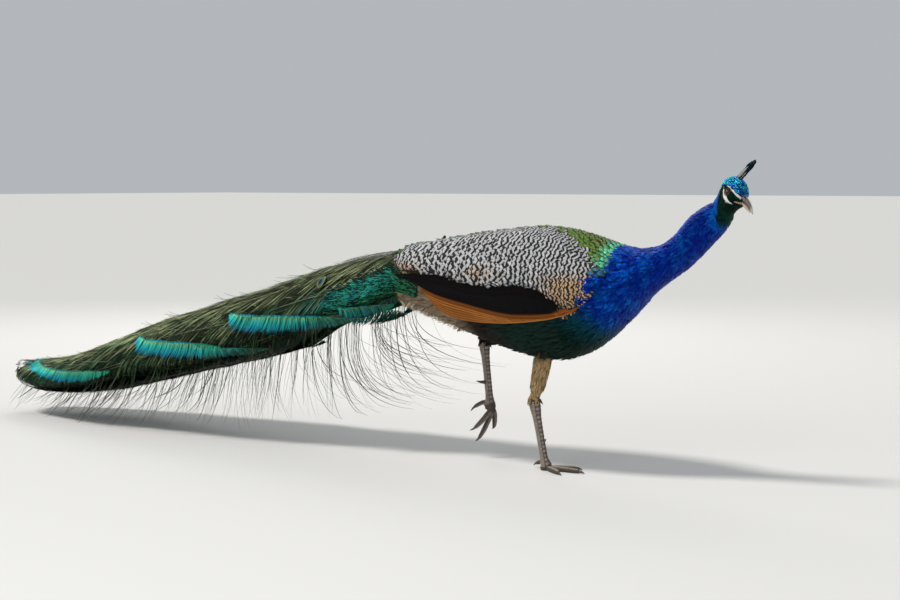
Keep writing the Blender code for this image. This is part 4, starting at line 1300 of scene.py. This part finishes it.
def trainPoint(share, angle, out):     # share: 0 rump to 1 tips; angle 0 on top; out 1 at the outline
    row = np.clip(share, 0.0, 0.9999) * (len(trainMiddles) - 1)
    base = np.floor(row).astype(int)
    part = (row - base)[..., None]
    middle = trainMiddles[base] * (1 - part) + trainMiddles[base + 1] * part
    reach = trainRadius(share, angle) * out
    middle = middle + np.stack([np.minimum(0.0, (1.0 - share)) * trainLength,
                                np.sin(angle) * reach, np.cos(angle) * reach], axis=-1)
    return middle


trainColours = {"dark": (0.003, 0.007, 0.004), "olive": (0.20, 0.25, 0.085), "pale": (0.50, 0.56, 0.30),
                "emerald": (0.008, 0.16, 0.060), "turquoise": (0.006, 0.25, 0.22),
                "shaft": (0.10, 0.085, 0.050), "paleShaft": (0.42, 0.38, 0.28)}


def trainTint(share, angle, feather, v, luck):   # colour of each barb, v from its shaft to its tip
    c = trainColours
    low = smoothStep(np.abs(angle), 0.8, 1.5)
    green = np.clip(low * 0.75 + 0.45 * smoothStep(share, 0.45, 0.75) * smoothStep(np.abs(angle), 0.4, 1.0)
                    + 0.5 * np.sin(feather * 7.3) - 0.15, 0, 1)
    body = blendColour(c["olive"], c["emerald"], green)
    tip = blendColour(c["pale"], c["emerald"], np.clip(green * 1.1, 0, 0.85))
    shine = smoothStep(share, 0.36, 0.22) * smoothStep(np.abs(angle), 1.0, 1.35) * (luck[1] > 0.35)
    body, tip = (blendColour(tone, c["turquoise"], shine * 0.9) for tone in (body, tip))
    # painted light and shade: a few barbs are bright as if lit, none on the underside; the rest stay
    # near-black as painted shade deep in the train
    bright = smoothStep(luck[0], 0.80, 0.96) * smoothStep(np.abs(angle), 2.3, 1.8)
    bright = np.maximum(bright, shine * 0.5)
    # painted shade: each barb darkens towards its shaft
    tone = blendColour(body, tip, np.full(len(share), v)) * (0.45 + 0.55 * v)
    tone = blendColour(c["dark"] + body * 0.035, tone, bright * min(1.0, 0.15 + 1.3 * v))
    return tone


barbStops = np.array([0.0, 0.30, 0.65, 1.0])
barbFaces = [(0, 1, 3, 2), (2, 3, 5, 4), (4, 5, 6)]
barbVane = [(0.25, 0.0), (0.75, 0.0), (0.2, 0.3), (0.8, 0.3), (0.3, 0.65), (0.7, 0.65), (0.5, 1.0)]


def barbs(shares, angles, outs, hands, lengths, spreads, widths, droop, lift):
    # ribbons on the train's surface from their places on the shafts; hands are -1 or 1
    s, a = shares.copy(), angles.copy()
    path = [(s.copy(), a.copy(), outs.copy())]
    for before, after in zip(barbStops, barbStops[1:]):
        turn = np.radians(spreads) * (1.15 - 0.65 * (before + after) / 2)
        run = lengths * (after - before)
        radius = np.maximum(trainRadius(s, a), 0.01)
        s = s + run * np.cos(turn) / trainLength
        sink = droop * np.sin(np.abs(a)) * (after ** 1.5 - before ** 1.5) * np.sign(a)
        a = a + (hands * run * np.sin(turn)) / radius + sink / radius
        path.append((s.copy(), a.copy(), outs + lift * after ** 1.5 / radius))
    line = np.stack([trainPoint(*place) for place in path], axis=1)
    line[..., 2] = np.maximum(line[..., 2], 0.002)
    normal = line - np.stack([trainPoint(place[0], place[1], place[2] * 0.9) for place in path], axis=1)
    ahead = np.gradient(line, axis=1)
    across = unit(np.cross(unit(ahead), unit(normal)))
    half = widths[:, None, None] / 2 * np.array([0.75, 1.0, 0.8, 0.1])[None, :, None]
    left, right = line - across * half, line + across * half
    stack = [left[:, 0], right[:, 0], left[:, 1], right[:, 1], left[:, 2], right[:, 2], line[:, 3]]
    return np.stack(stack, axis=1)


def addShafts(name, lines, thick, tint, finish, slot, replaced=()):
    # three-sided shafts on lines of feathers x points x 3
    count, steps = lines.shape[:2]
    radii = np.linspace(*thick, steps)[None, :] * np.ones((count, 1))
    ahead = unit(np.gradient(lines, axis=1))
    across = unit(np.cross(ahead, np.array([0.0, 0.0, 1.0])))
    deep = np.cross(ahead, across)
    rings = [lines + radii[..., None] * turned(across, deep, turn)
             for turn in (math.pi / 2, math.pi / 2 + 2.094, math.pi / 2 + 4.189)]
    places = np.stack(rings, axis=2)
    faces = []
    for step in range(steps - 1):
        for corner in range(3):
            after = (corner + 1) % 3
            faces.append((step * 3 + corner, step * 3 + after, step * 3 + 3 + after,
                          step * 3 + 3 + corner))
    faces.append((0, 2, 1))
    faces.append(tuple(steps * 3 - 3 + corner for corner in range(3)))
    vane = [(corner / 2, step / (steps - 1)) for step in range(steps) for corner in range(3)]
    addTufts(name, places.reshape(count, steps * 3, 3), faces, vane, tint, unwrapped(lines[:, 0]),
             finish, slot, replaced)


def addBarbs(name, ribbons, tints, finish, slot, replaced=()):
    addTufts(name, ribbons, barbFaces, barbVane, tints, unwrapped(ribbons[:, 0]), finish, slot, replaced)
    print(name, len(ribbons), "barbs")


def barbFinish(name, metallic=0.3, roughness=0.42):
    finish = Finish(name, Metallic=metallic, Specular_IOR_Level=0.08)
    luck = finish.attribute("Luck", "Fac")
    grain = finish.noise(700.0)
    tint = finish.mix(grain * 0.25, finish.attribute("Tint"), (0.01, 0.012, 0.006))
    return finish.finish(tint, roughness=roughness + luck * 0.15, bump=grain, depth=0.0001)


core = {"rings": 60, "turns": 36, "ends": (0.08, 0.985), "depth": 0.80, "dark": (0.003, 0.006, 0.003),
        "light": (0.010, 0.016, 0.007)}


def makeShadeCore():                        # painted shade: a dark sheet deep between the train's barbs
    turns = core["turns"]
    shape = bmesh.new()
    rings = []
    angles = np.arange(turns) * 2 * math.pi / turns
    for share in np.linspace(*core["ends"], core["rings"]):
        out = np.full(turns, core["depth"] * min(1.0, (1.0 - share) * 14 + 0.25))
        ring = trainPoint(np.full(turns, share), angles, out)
        rings.append([shape.verts.new(place) for place in ring])
    bridge(shape, rings)
    mesh = meshOf("trainShadeCore", shape)
    mesh.shade_smooth()
    finish = Finish("trainShadeCore", Specular_IOR_Level=0.03)
    grain = finish.noise(160.0)
    material = finish.finish(finish.mix(grain, core["dark"], core["light"]), 0.85 + grain * 0.1)
    addPiece("trainShadeCore", mesh, material)


def makeTrain():
    count = train["count"]
    first = train["firstEnd"]
    ends = first + (1 - first) * (np.arange(count) + rng.random(count)) / count
    ends = np.where(rng.random(count) < 0.25, 1.0 - 0.12 * rng.random(count), ends)
    starts = np.maximum(train["firstStart"], ends - train["length"])
    angles = np.radians(train["reach"]) * (2 * rng.random(count) - 1)
    drift = np.radians(train["drift"]) * (rng.random(count) - 0.5)
    shares, places, feathers = [], [], []
    for index in range(count):
        run = (ends[index] - starts[index]) * trainLength
        number = int(run / train["barbStep"])
        along = (np.arange(number) + 0.5) / number
        shares.append(starts[index] + (ends[index] - starts[index]) * along)
        places.append(along)
        feathers.append(np.full(number, index))
    share, along, feather = (np.concatenate(rows) for rows in (shares, places, feathers))

    def route(share, along, feather):
        narrowing = 1.0 - 0.35 * smoothStep(share, 0.75, 1.0)
        angle = (angles[feather] + drift[feather] * along) * narrowing
        return angle, 0.84 + 0.10 * along + 0.03 * np.sin(feather * 12.9 + along * 6)

    angle, out = route(share, along, feather)
    share, along, feather, angle, out = (np.repeat(row, 2) for row in (share, along, feather, angle, out))
    luck = rng.random((6, len(share)))
    hand = np.where(luck[5] < 0.5 - 0.42 * np.clip(np.sin(angle) * 1.6, -1, 1), -1.0, 1.0)
    clump = rng.random(len(share) // 6 + 1).repeat(6)[:len(share)]
    luck[0] = 0.55 * luck[0] + 0.45 * rng.random(len(share) // 3 + 1).repeat(3)[:len(share)]
    luck[0] = np.argsort(np.argsort(luck[0])) / len(share)
    base = smoothStep(share, 0.30, 0.20) * smoothStep(np.abs(angle), 0.8, 1.2)
    length = train["barbLength"] * (0.75 + 0.5 * clump) * (0.55 + 0.45 * np.minimum(1, (1 - along) * 4))
    length = length * (1 - 0.5 * base)
    flank = smoothStep(np.abs(angle), 0.7, 1.3)
    spread = 24 + 16 * clump + 14 * luck[1] + 10 * flank + 30 * base * (luck[4] - 0.3)
    # the barbs painted bright as if lit also lie higher and thinner
    bright = smoothStep(luck[0], 0.80, 0.96)
    lift = 0.0045 * bright + 0.006 * luck[2] ** 3 + 0.004 * base
    ribbons = barbs(share, angle, out + 0.02 * bright, hand, length, spread,
                    train["barbWidth"] * (0.55 + 0.7 * luck[3]) * (1 - 0.42 * bright), 0.014, lift)
    tints = np.stack([trainTint(share, angle, feather, v, luck) for _, v in barbVane], axis=1)
    finish = barbFinish("trainBarbs")
    parts = train["pieces"]            # the barbs are split over several pieces; each stays under the limit of triangles
    for part in range(parts):
        chosen = slice(part * len(share) // parts, (part + 1) * len(share) // parts)
        addBarbs("trainBarbs_%d" % part, ribbons[chosen], tints[chosen], finish, "train_feathers",
                 ["train_%d" % (number + 1) for number in range(4)] if part == 0 else ())
    steps = np.linspace(0.0, 1.0, train["shaftSteps"])
    grid = np.repeat(np.arange(count), len(steps)).reshape(count, -1)
    along = np.tile(steps, (count, 1))
    share = starts[:, None] + (ends - starts)[:, None] * along
    angle, out = route(share, along, grid)
    lines = trainPoint(share, angle, out)
    lines[..., 2] = np.maximum(lines[..., 2], 0.003)
    pale = 0.9 * (rng.random(count) > train["paleShafts"])
    tint = blendColour(trainColours["shaft"], trainColours["paleShaft"], pale)
    # painted shade: shafts on the underside of the train are darker
    tint = tint * (0.5 + 0.7 * rng.random((count, 1))) * (1 - 0.8 * (np.abs(angles) > 1.6))[:, None]
    addShafts("trainShafts", lines, train["shaft"], tint, barbFinish("shafts", 0.0, 0.35), "train_feathers")


rumpBarbs = {"count": 7500, "length": 0.017, "width": 0.0018, "along": (0.060, 0.155),
             "around": (48.0, 66.0), "dark": (0.003, 0.016, 0.010),
             "green": (0.035, 0.34, 0.15), "cyan": (0.030, 0.50, 0.42), "blue": (0.010, 0.32, 0.46),
             "olive": (0.20, 0.27, 0.10)}


def makeRumpBarbs():                   # short curled barbs on both flanks where the train starts
    count = rumpBarbs["count"] * 2
    luck = rng.random((8, count))
    (first, more), (top, down) = rumpBarbs["along"], rumpBarbs["around"]
    share = first + more * luck[0]
    side = np.where(luck[1] < 0.5, -1.0, 1.0)
    angle = side * np.radians(top + down * luck[2])
    low = np.abs(angle) > np.radians(46 + 130 * share + 14 * luck[7])
    share, angle, side, luck = share[low], angle[low], side[low], luck[:, low]
    count = len(share)
    hand = np.where(luck[3] < 0.5, -1.0, 1.0)
    ribbons = barbs(share, angle, 0.97 + 0.05 * luck[4], hand, rumpBarbs["length"] * (0.6 + 0.8 * luck[5]),
                    10 + 75 * luck[6], rumpBarbs["width"] * (0.6 + 0.7 * luck[4]), 0.004,
                    0.002 + 0.006 * luck[3])
    patch = np.sin(share * 95 + 2 * np.sin(angle * 5)) * np.sin(angle * 7 + share * 60)
    spot = smoothStep(share, 0.08, 0.13) * smoothStep(np.abs(np.abs(angle) - 1.42), 0.40, 0.12)
    tint = []
    for _, v in barbVane:
        tone = blendColour(rumpBarbs["green"], rumpBarbs["cyan"], np.clip(spot * (0.5 + patch), 0, 1))
        tone = blendColour(tone, rumpBarbs["blue"], 0.7 * spot * (patch < -0.35))
        tone = blendColour(tone, rumpBarbs["olive"], 0.85 * (luck[2] + 0.3 * spot < 0.45))
        # painted light and shade: some barbs bright as if lit, the rest near-black as if in shade, and each
        # darker towards its root
        bright = smoothStep(luck[7] + 0.22 * spot, 0.52, 0.92) * (0.3 + 0.7 * v)
        tint.append(blendColour(rumpBarbs["dark"], tone, bright))
    addBarbs("rumpBarbs", ribbons, np.stack(tint, axis=1), barbFinish("rumpBarbs", 0.4, 0.38),
             "train_feathers")


tail = {"count": 18, "spread": 52.0, "root": 0.075, "length": 0.27, "half": 0.016,
        "tone": (0.085, 0.062, 0.042), "rim": (0.12, 0.09, 0.06)}


def makeTailQuills():                  # the true tail under the train
    shape, faces, vane = tailLeaf
    places, tints = [], []
    for index in range(tail["count"]):
        fan = index / (tail["count"] - 1) * 2 - 1
        turn = math.pi + math.radians(tail["spread"]) * fan
        share = tail["root"] + shape[:, 1] * (tail["length"] - 0.03 * abs(fan))
        radius = trainRadius(np.full(len(share), 0.2), np.full(len(share), turn))
        angle = turn + shape[:, 0] * tail["half"] / radius
        out = 0.93 - 0.014 * (index % 3) + 0.01 * (1 - shape[:, 0] ** 2)
        places.append(trainPoint(share, angle, out))
        tints.append(np.array(tail["tone"]) * (0.7 + 0.5 * rng.random()))
    places = np.array(places)
    addTufts("tailQuills", places, faces, vane, np.array(tints), unwrapped(places[:, 0]),
             quillFinish("tailQuills", tail["rim"]), "train_feathers", patch=0.02)


strays = {"count": 70, "steps": 12, "length": (0.05, 0.09), "stand": (0.02, 0.16),
          "thick": (0.0010, 0.0003)}


def makeStrays():                      # a few long ends that stand off the train
    count = strays["count"]
    luck = rng.random((5, count))
    share = 0.12 + 0.80 * luck[0]
    angle = (2 * luck[1] - 1) * 1.5
    t = np.linspace(0.0, 1.0, strays["steps"])
    (short, longer), (near, far) = strays["length"], strays["stand"]
    run = (short + longer * luck[2])[:, None] * t
    out = 0.93 + 0.10 * t * t * 0.8 + (near + far * luck[3])[:, None] * t ** 2.5
    shares = np.minimum(share[:, None] + run / trainLength * 0.9, 0.995)
    lines = trainPoint(shares, angle[:, None] + (luck[4][:, None] - 0.5) * 0.5 * t, out)
    tint = blendColour(trainColours["olive"], trainColours["paleShaft"], luck[2] ** 2)
    addShafts("trainStrays", lines, strays["thick"], tint * 0.7, barbFinish("strays", 0.0, 0.45),
              "train_feathers")


makeShadeCore()
makeTrain()
makeRumpBarbs()
makeTailQuills()
makeStrays()


spots = {"count": 18, "length": 0.024, "width": 0.017, "bronze": (0.20, 0.13, 0.035),
         "rim": (0.10, 0.20, 0.03), "ring": (0.005, 0.12, 0.15), "heart": (0.014, 0.006, 0.050),
         "line": (0.006, 0.010, 0.006)}


def makeSpots():
    count = spots["count"]
    luck = rng.random((4, count))
    share = 0.30 + 0.68 * (np.arange(count) + luck[0]) / count
    angle = np.radians(-38 + 120 * luck[1]) * (1 - 0.3 * smoothStep(share, 0.75, 1.0))
    share[0], angle[0] = (train["front"] - 0.061) / trainLength, -1.02
    shape, faces, vane = spotLeaf
    places = []
    for index in range(count):
        size = 0.8 + 0.35 * luck[2][index]
        run = shape[:, 1] * spots["length"] * size
        middle = share[index] + run / trainLength
        radius = trainRadius(np.array([share[index]]), np.array([angle[index]]))[0]
        turn = angle[index] + shape[:, 0] * spots["width"] * size / radius
        places.append(trainPoint(middle, turn, 0.965 + 0.02 * (1 - shape[:, 0] ** 2)))
    places = np.array(places)
    finish = Finish("eyeSpots", Metallic=0.25, Specular_IOR_Level=0.15)
    across, along = finish.vane()
    away = ((abs(across) * 0.78) ** 2.0 + ((along - 0.52) * 1.9) ** 2.0) ** 0.5
    line = (along * 26.0 + abs(across) * 6.0).wave()
    heart = (((abs(across) * 1.25) ** 2.0) + ((along - 0.60) * 2.6) ** 2.0) ** 0.5
    tint = finish.mix(away.above(0.82, 0.12), spots["bronze"], spots["rim"])
    tint = finish.mix(away.below(0.60, 0.08), tint, spots["ring"])
    tint = finish.mix(heart.below(0.55, 0.08), tint, spots["heart"])
    tint = finish.mix(line * 0.3, tint, spots["line"])
    material = finish.finish(tint, roughness=0.45 + line * 0.15, bump=line)
    addTufts("eyeSpots", places, faces, vane, np.full((count, 3), 0.5), unwrapped(places[:, 0]),
             material, "train_feathers", patch=0.01)


makeSpots()
print("eye spots made")


fringe = {"count": 210, "steps": 13, "width": 0.0020, "rear": -0.98, "around": (88.0, 52.0),
          "low": 0.003, "sweep": ((-0.96, -0.62, -0.40, -0.15, 0.00, 0.10, 0.22),
                                  (-0.06, -0.10, -0.07, -0.015, 0.05, 0.13, 0.20))}
wispColours = {"green": (0.020, 0.055, 0.020), "dark": (0.030, 0.032, 0.020), "pale": (0.16, 0.17, 0.11)}


def makeFringe(side):
    places = nodePoints("fringe_" + side)
    columns = np.unique(np.round(places[:, 0], 3))
    lows = np.array([places[np.abs(places[:, 0] - column) < 0.002][:, 2].min() for column in columns])
    count = fringe["count"]
    luck = rng.random((8, count))
    x0 = fringe["rear"] + (places[:, 0].max() - fringe["rear"]) * luck[0] ** 0.85
    share = (train["front"] - x0) / trainLength
    angle = sides[side] * np.radians(fringe["around"][0] + fringe["around"][1] * luck[1])
    start = trainPoint(share, angle, np.full(count, 0.93))
    bottom = np.interp(x0, columns, lows, left=0.006)
    end = np.maximum(bottom + (start[:, 2] - bottom) * 0.55 * luck[2] ** 1.6, 0.004)
    sweep = np.interp(x0, *fringe["sweep"]) * (0.6 + 0.7 * luck[3])
    t = np.linspace(0.0, 1.0, fringe["steps"])[None, :]
    line = np.empty((count, fringe["steps"], 3))
    line[..., 0] = (start[:, :1] + sweep[:, None] * t ** 2.1
                    - 0.02 * np.sin(math.pi * t) * (luck[4][:, None] + 0.2))
    line[..., 1] = (start[:, 1:2] + sides[side] * 0.014 * np.sin(t * 2.2) * (luck[5][:, None] - 0.2)
                    + 0.003 * np.sin(t * 5 + luck[6][:, None] * 6))
    curl = smoothStep(x0, -0.08, 0.12)[:, None]
    line[..., 2] = start[:, 2:] + (end - start[:, 2])[:, None] * (1 - (1 - t) ** (1.25 + 0.75 * curl))
    line[..., 2] = np.maximum(line[..., 2], fringe["low"])
    ahead = unit(np.gradient(line, axis=1))
    turn = math.pi * luck[7][:, None]
    face = np.stack([np.sin(turn) * 0.6, np.ones_like(turn), np.cos(turn) * 0.6], axis=-1)
    across = unit(np.cross(ahead, face))
    half = fringe["width"] / 2 * np.interp(t[0], (0, 0.5, 1), (1.0, 0.75, 0.12))[None, :, None]
    half = half * (0.5 + 1.1 * luck[6] ** 2)[:, None, None]
    wisps = np.stack([line - across * half, line + across * half], axis=2).reshape(count, -1, 3)
    faces = [(n * 2, n * 2 + 1, n * 2 + 3, n * 2 + 2) for n in range(fringe["steps"] - 1)]
    vane = [(column, n / (fringe["steps"] - 1)) for n in range(fringe["steps"]) for column in (0.0, 1.0)]
    tone = blendColour(wispColours["dark"], wispColours["pale"],
                       luck[2] * smoothStep(x0, -0.1, -0.8) + 0.15 * luck[5])
    tints = np.stack([blendColour(wispColours["green"], tone, np.full(count, min(1.0, v * 2)))
                      for _, v in vane], axis=1)
    addTufts("looseBarbs_" + side, wisps, faces, vane, tints, unwrapped(start), looseBarbs,
             "train_feathers", ["fringe_" + side])


looseBarbs = barbFinish("looseBarbs", 0.1, 0.5)
for side in sides:
    makeFringe(side)
print("fringe made")


sword = {"step": 0.00095, "barb": 0.034, "upper": 0.007, "width": 0.0022, "over": 0.075,
         "rise": 0.0105, "full": (1.0, 0.95, 0.72, 0.85, 0.75),
         "rim": (0.20, 0.52, 0.26), "bright": (0.030, 0.46, 0.40), "deep": (0.006, 0.22, 0.42),
         "green": (0.020, 0.38, 0.18), "dark": (0.002, 0.026, 0.024)}
shortSwords = {4: (0.16, 0.277, 0.220, 0.122), 5: (0.05, 0.208, -0.105, -0.275)}   # slope, level, ends


def makeSwords(side):
    shares, angles, lengths, hands, fronts = [], [], [], [], []
    for number in (1, 2, 3, 4, 5):     # the last two are short ones over and under the first
        if number <= 3:
            places = nodePoints("sword_feather_%d_%s" % (number, side))
            slope, level = np.polyfit(places[:, 0], places[:, 2], 1)
            front, rear = places[:, 0].max() + (sword["over"] if number == 1 else 0.0), places[:, 0].min()
        else:
            slope, level, front, rear = shortSwords[number]
        steps = int((front - rear) / sword["step"])
        along = (np.arange(steps) + 0.5) / steps
        x = front + (rear - front) * along
        sag = (-0.010 * np.sin(math.pi * along) + 0.012 * along ** 4) if number == 3 else (
            0.006 * smoothStep(along, 0.86, 1.0))
        z = slope * x + level + sword["rise"] + sag
        share = (train["front"] - x) / trainLength
        row = share * (len(trainMiddles) - 1)
        middle = np.interp(row, np.arange(len(trainMiddles)), trainMiddles[:, 2])
        y = np.array([flankPoint(trainTree, px, pz, side).y for px, pz in zip(x, z)])
        shape = np.minimum(1.0, np.minimum(0.25 + along * 4, (1.02 - along) * 9))
        for hand, barb in ((1.0, sword["barb"]), (-1.0, sword["upper"])):
            shares.append(share)
            angles.append(np.arctan2(y, z - middle))
            hands.append(np.full(steps, hand * sides[side]))
            lengths.append(barb * shape * sword["full"][number - 1])
        fronts.append(along)
    share, angle, hand, length = (np.concatenate(rows) for rows in (shares, angles, hands, lengths))
    luck = rng.random((4, len(share)))
    outs = 1.01 + 0.05 * smoothStep(share, 0.26, 0.18)
    group = rng.random(len(share) // 4 + 1).repeat(4)[:len(share)]
    ribbons = barbs(share, angle, outs + 0.05 * luck[3] * group, hand,
                    length * (0.80 + 0.14 * luck[0] + 0.14 * group), 58 + 20 * luck[1] + 16 * group,
                    sword["width"] * (0.7 + 0.5 * luck[2]), 0.0, 0.001 + 0.003 * group)
    front = smoothStep(np.concatenate([np.tile(steps, 2) for steps in fronts]), 0.35, 0.0)
    tint = []
    for _, v in barbVane:
        here = np.full(len(share), v)
        colour = blendColour(sword["rim"], sword["bright"], smoothStep(here, 0.0, 0.30))
        colour = blendColour(colour, sword["deep"], smoothStep(here + 0.4 * group - 0.2, 0.45, 0.95))
        colour = blendColour(colour, sword["green"], 0.75 * front + 0.35 * (luck[2] > 0.7))
        shade = np.clip(0.10 + 0.55 * luck[1] + 0.75 * group - 0.25 * (v > 0.9), 0.0, 1.1)
        tint.append(blendColour(sword["dark"], colour, shade))
    addBarbs("swordBarbs_" + side, ribbons, np.stack(tint, axis=1), swordBarbs, "turquoise_feathers",
             ["sword_feather_%d_%s" % (number, side) for number in (1, 2, 3)])


swordBarbs = barbFinish("swordBarbs", 0.45, 0.36)
trainRadii = fullRadii                 # the sword feathers hang outside the tucked flanks
for side in sides:
    makeSwords(side)


crest = {"shafts": 24, "length": 51.0, "lean": 25.0, "spread": 4.3, "thick": 2.0, "fan": 13.0,
         "wide": 1.9, "shaft": (0.00050, 0.00026), "shaftSteps": 9,
         "pale": (0.50, 0.47, 0.42), "dark": (0.012, 0.012, 0.012), "tip": (0.004, 0.010, 0.014),
         "rim": (0.004, 0.028, 0.040)}


def makeCrest():
    count = crest["shafts"]
    lean = math.radians(crest["lean"])
    upward = np.array([math.sin(lean), 0.0, math.cos(lean)])
    forward = np.array([math.cos(lean), 0.0, -math.sin(lean)])
    luck = rng.random((4, count))
    u = np.linspace(-1.0, 1.0, count)
    v = 2 * luck[0] - 1
    reach = crest["length"] * (0.62 + 0.38 * luck[1]) * (0.90 + 0.10 * u)
    root = np.array([-2.5, 0.0, 25.0]) + u[:, None] * 6.0 * forward + v[:, None] * np.array([0, 1.4, 0])
    tip = (np.array([-2.5, 0.0, 25.5]) + reach[:, None] * upward + u[:, None] * crest["spread"] * forward
           + v[:, None] * crest["thick"] * np.array([0, 1.0, 0]))
    t = np.linspace(0.0, 1.0, crest["shaftSteps"])[None, :, None]
    lines = root[:, None] + (tip - root)[:, None] * t
    lines = lines + forward * (np.sin(math.pi * t) * (1.2 * u)[:, None, None])
    tone = blendColour(crest["pale"], crest["dark"], smoothStep(u + 0.5 * luck[3], 0.0, 0.5))
    addShafts("crestShafts", fromHead(lines), crest["shaft"], tone, barbFinish("crestShafts", 0.0, 0.4),
              "crest_feathers", ["crest"])
    shape, fanFaces, fanVane = fanLeaf
    fans, tints = [], []
    for index in range(count):
        along = unit(tip[index] - root[index])
        turn = (luck[2][index] - 0.5) * 2.0
        front = max(0.0, u[index])
        across = unit(turned(forward, np.array([0, 1.0, 0]), turn))
        deep = np.cross(across, along)
        size = crest["fan"] * (0.80 + 0.3 * luck[3][index]) * (1 + 1.5 * front)
        middle = tip[index] - along * (size - 5.0)
        fans.append([middle + along * b * size + across * a * crest["wide"] + deep * (1 - a * a) * 0.5
                     for a, b in shape])
        tints.append([np.array(crest["tip"]) * (1 - min(1, abs(a) * 0.7 + b * 0.5))
                      + np.array(crest["rim"]) * min(1, abs(a) * 0.7 + b * 0.5) for a, b in shape])
    addTufts("crestFans", fromHead(np.array(fans)), fanFaces, fanVane, np.array(tints),
             unwrapped(fromHead(root)), featherFinish("crestFans", barbs=14.0), "crest_feathers")


makeCrest()
print("crest made")


stage = {"floor": (0.58, 0.575, 0.56), "azimuth": 38.0, "pitch": 3.66, "lens": 75.0,
         "camera": (2.7319, -3.0763, 0.58), "sky": (0.90, 0.95, 1.0, 1.0), "skyStrength": 0.50,
         "sun": 2.7, "sunAngle": 12.0, "sunColour": (1.0, 0.97, 0.92), "sunWay": (0.35, 0.45, -1.0)}
lamps = {                              # place, size, power and colour
    "fill": ((0.6, -3.6, 1.8), 2.4, 45.0, (0.95, 0.97, 1.0)),
    "rear": ((-2.4, 2.6, 2.6), 2.0, 45.0, (1.0, 0.98, 0.95))}
lampsAimAt = Vector((0.1, 0.0, 0.25))


def makeStage():
    shape = bmesh.new()
    bmesh.ops.create_grid(shape, x_segments=1, y_segments=1, size=60.0)
    floor = looseObject("floor", meshOf("floor", shape))
    floor.data.materials.append(Finish("floorPaint", Roughness=0.9).finish(stage["floor"]))
    camera = looseObject("camera", bpy.data.cameras.new("camera"))
    camera.data.lens = stage["lens"]
    camera.location = stage["camera"]
    camera.rotation_euler = (math.radians(90 - stage["pitch"]), 0.0, math.radians(stage["azimuth"]))
    scene = bpy.context.scene
    scene.camera = camera
    scene.view_settings.view_transform = "Standard"
    scene.world = bpy.data.worlds.new("studio")
    scene.world.use_nodes = True
    sky = scene.world.node_tree.nodes["Background"].inputs
    sky["Color"].default_value = stage["sky"]
    sky["Strength"].default_value = stage["skyStrength"]
    sun = looseObject("sun", bpy.data.lights.new("sun", "SUN"))
    sun.data.energy = stage["sun"]
    sun.data.angle = math.radians(stage["sunAngle"])
    sun.data.color = stage["sunColour"]
    sun.rotation_euler = Vector(stage["sunWay"]).to_track_quat("-Z", "Y").to_euler()
    for name, (place, size, power, colour) in lamps.items():
        lamp = looseObject(name, bpy.data.lights.new(name, "AREA"))
        lamp.data.shape = "DISK"
        lamp.data.size = size
        lamp.data.energy = power
        lamp.data.color = colour
        lamp.location = place
        lamp.rotation_euler = (lampsAimAt - Vector(place)).to_track_quat("-Z", "Y").to_euler()


makeStage()
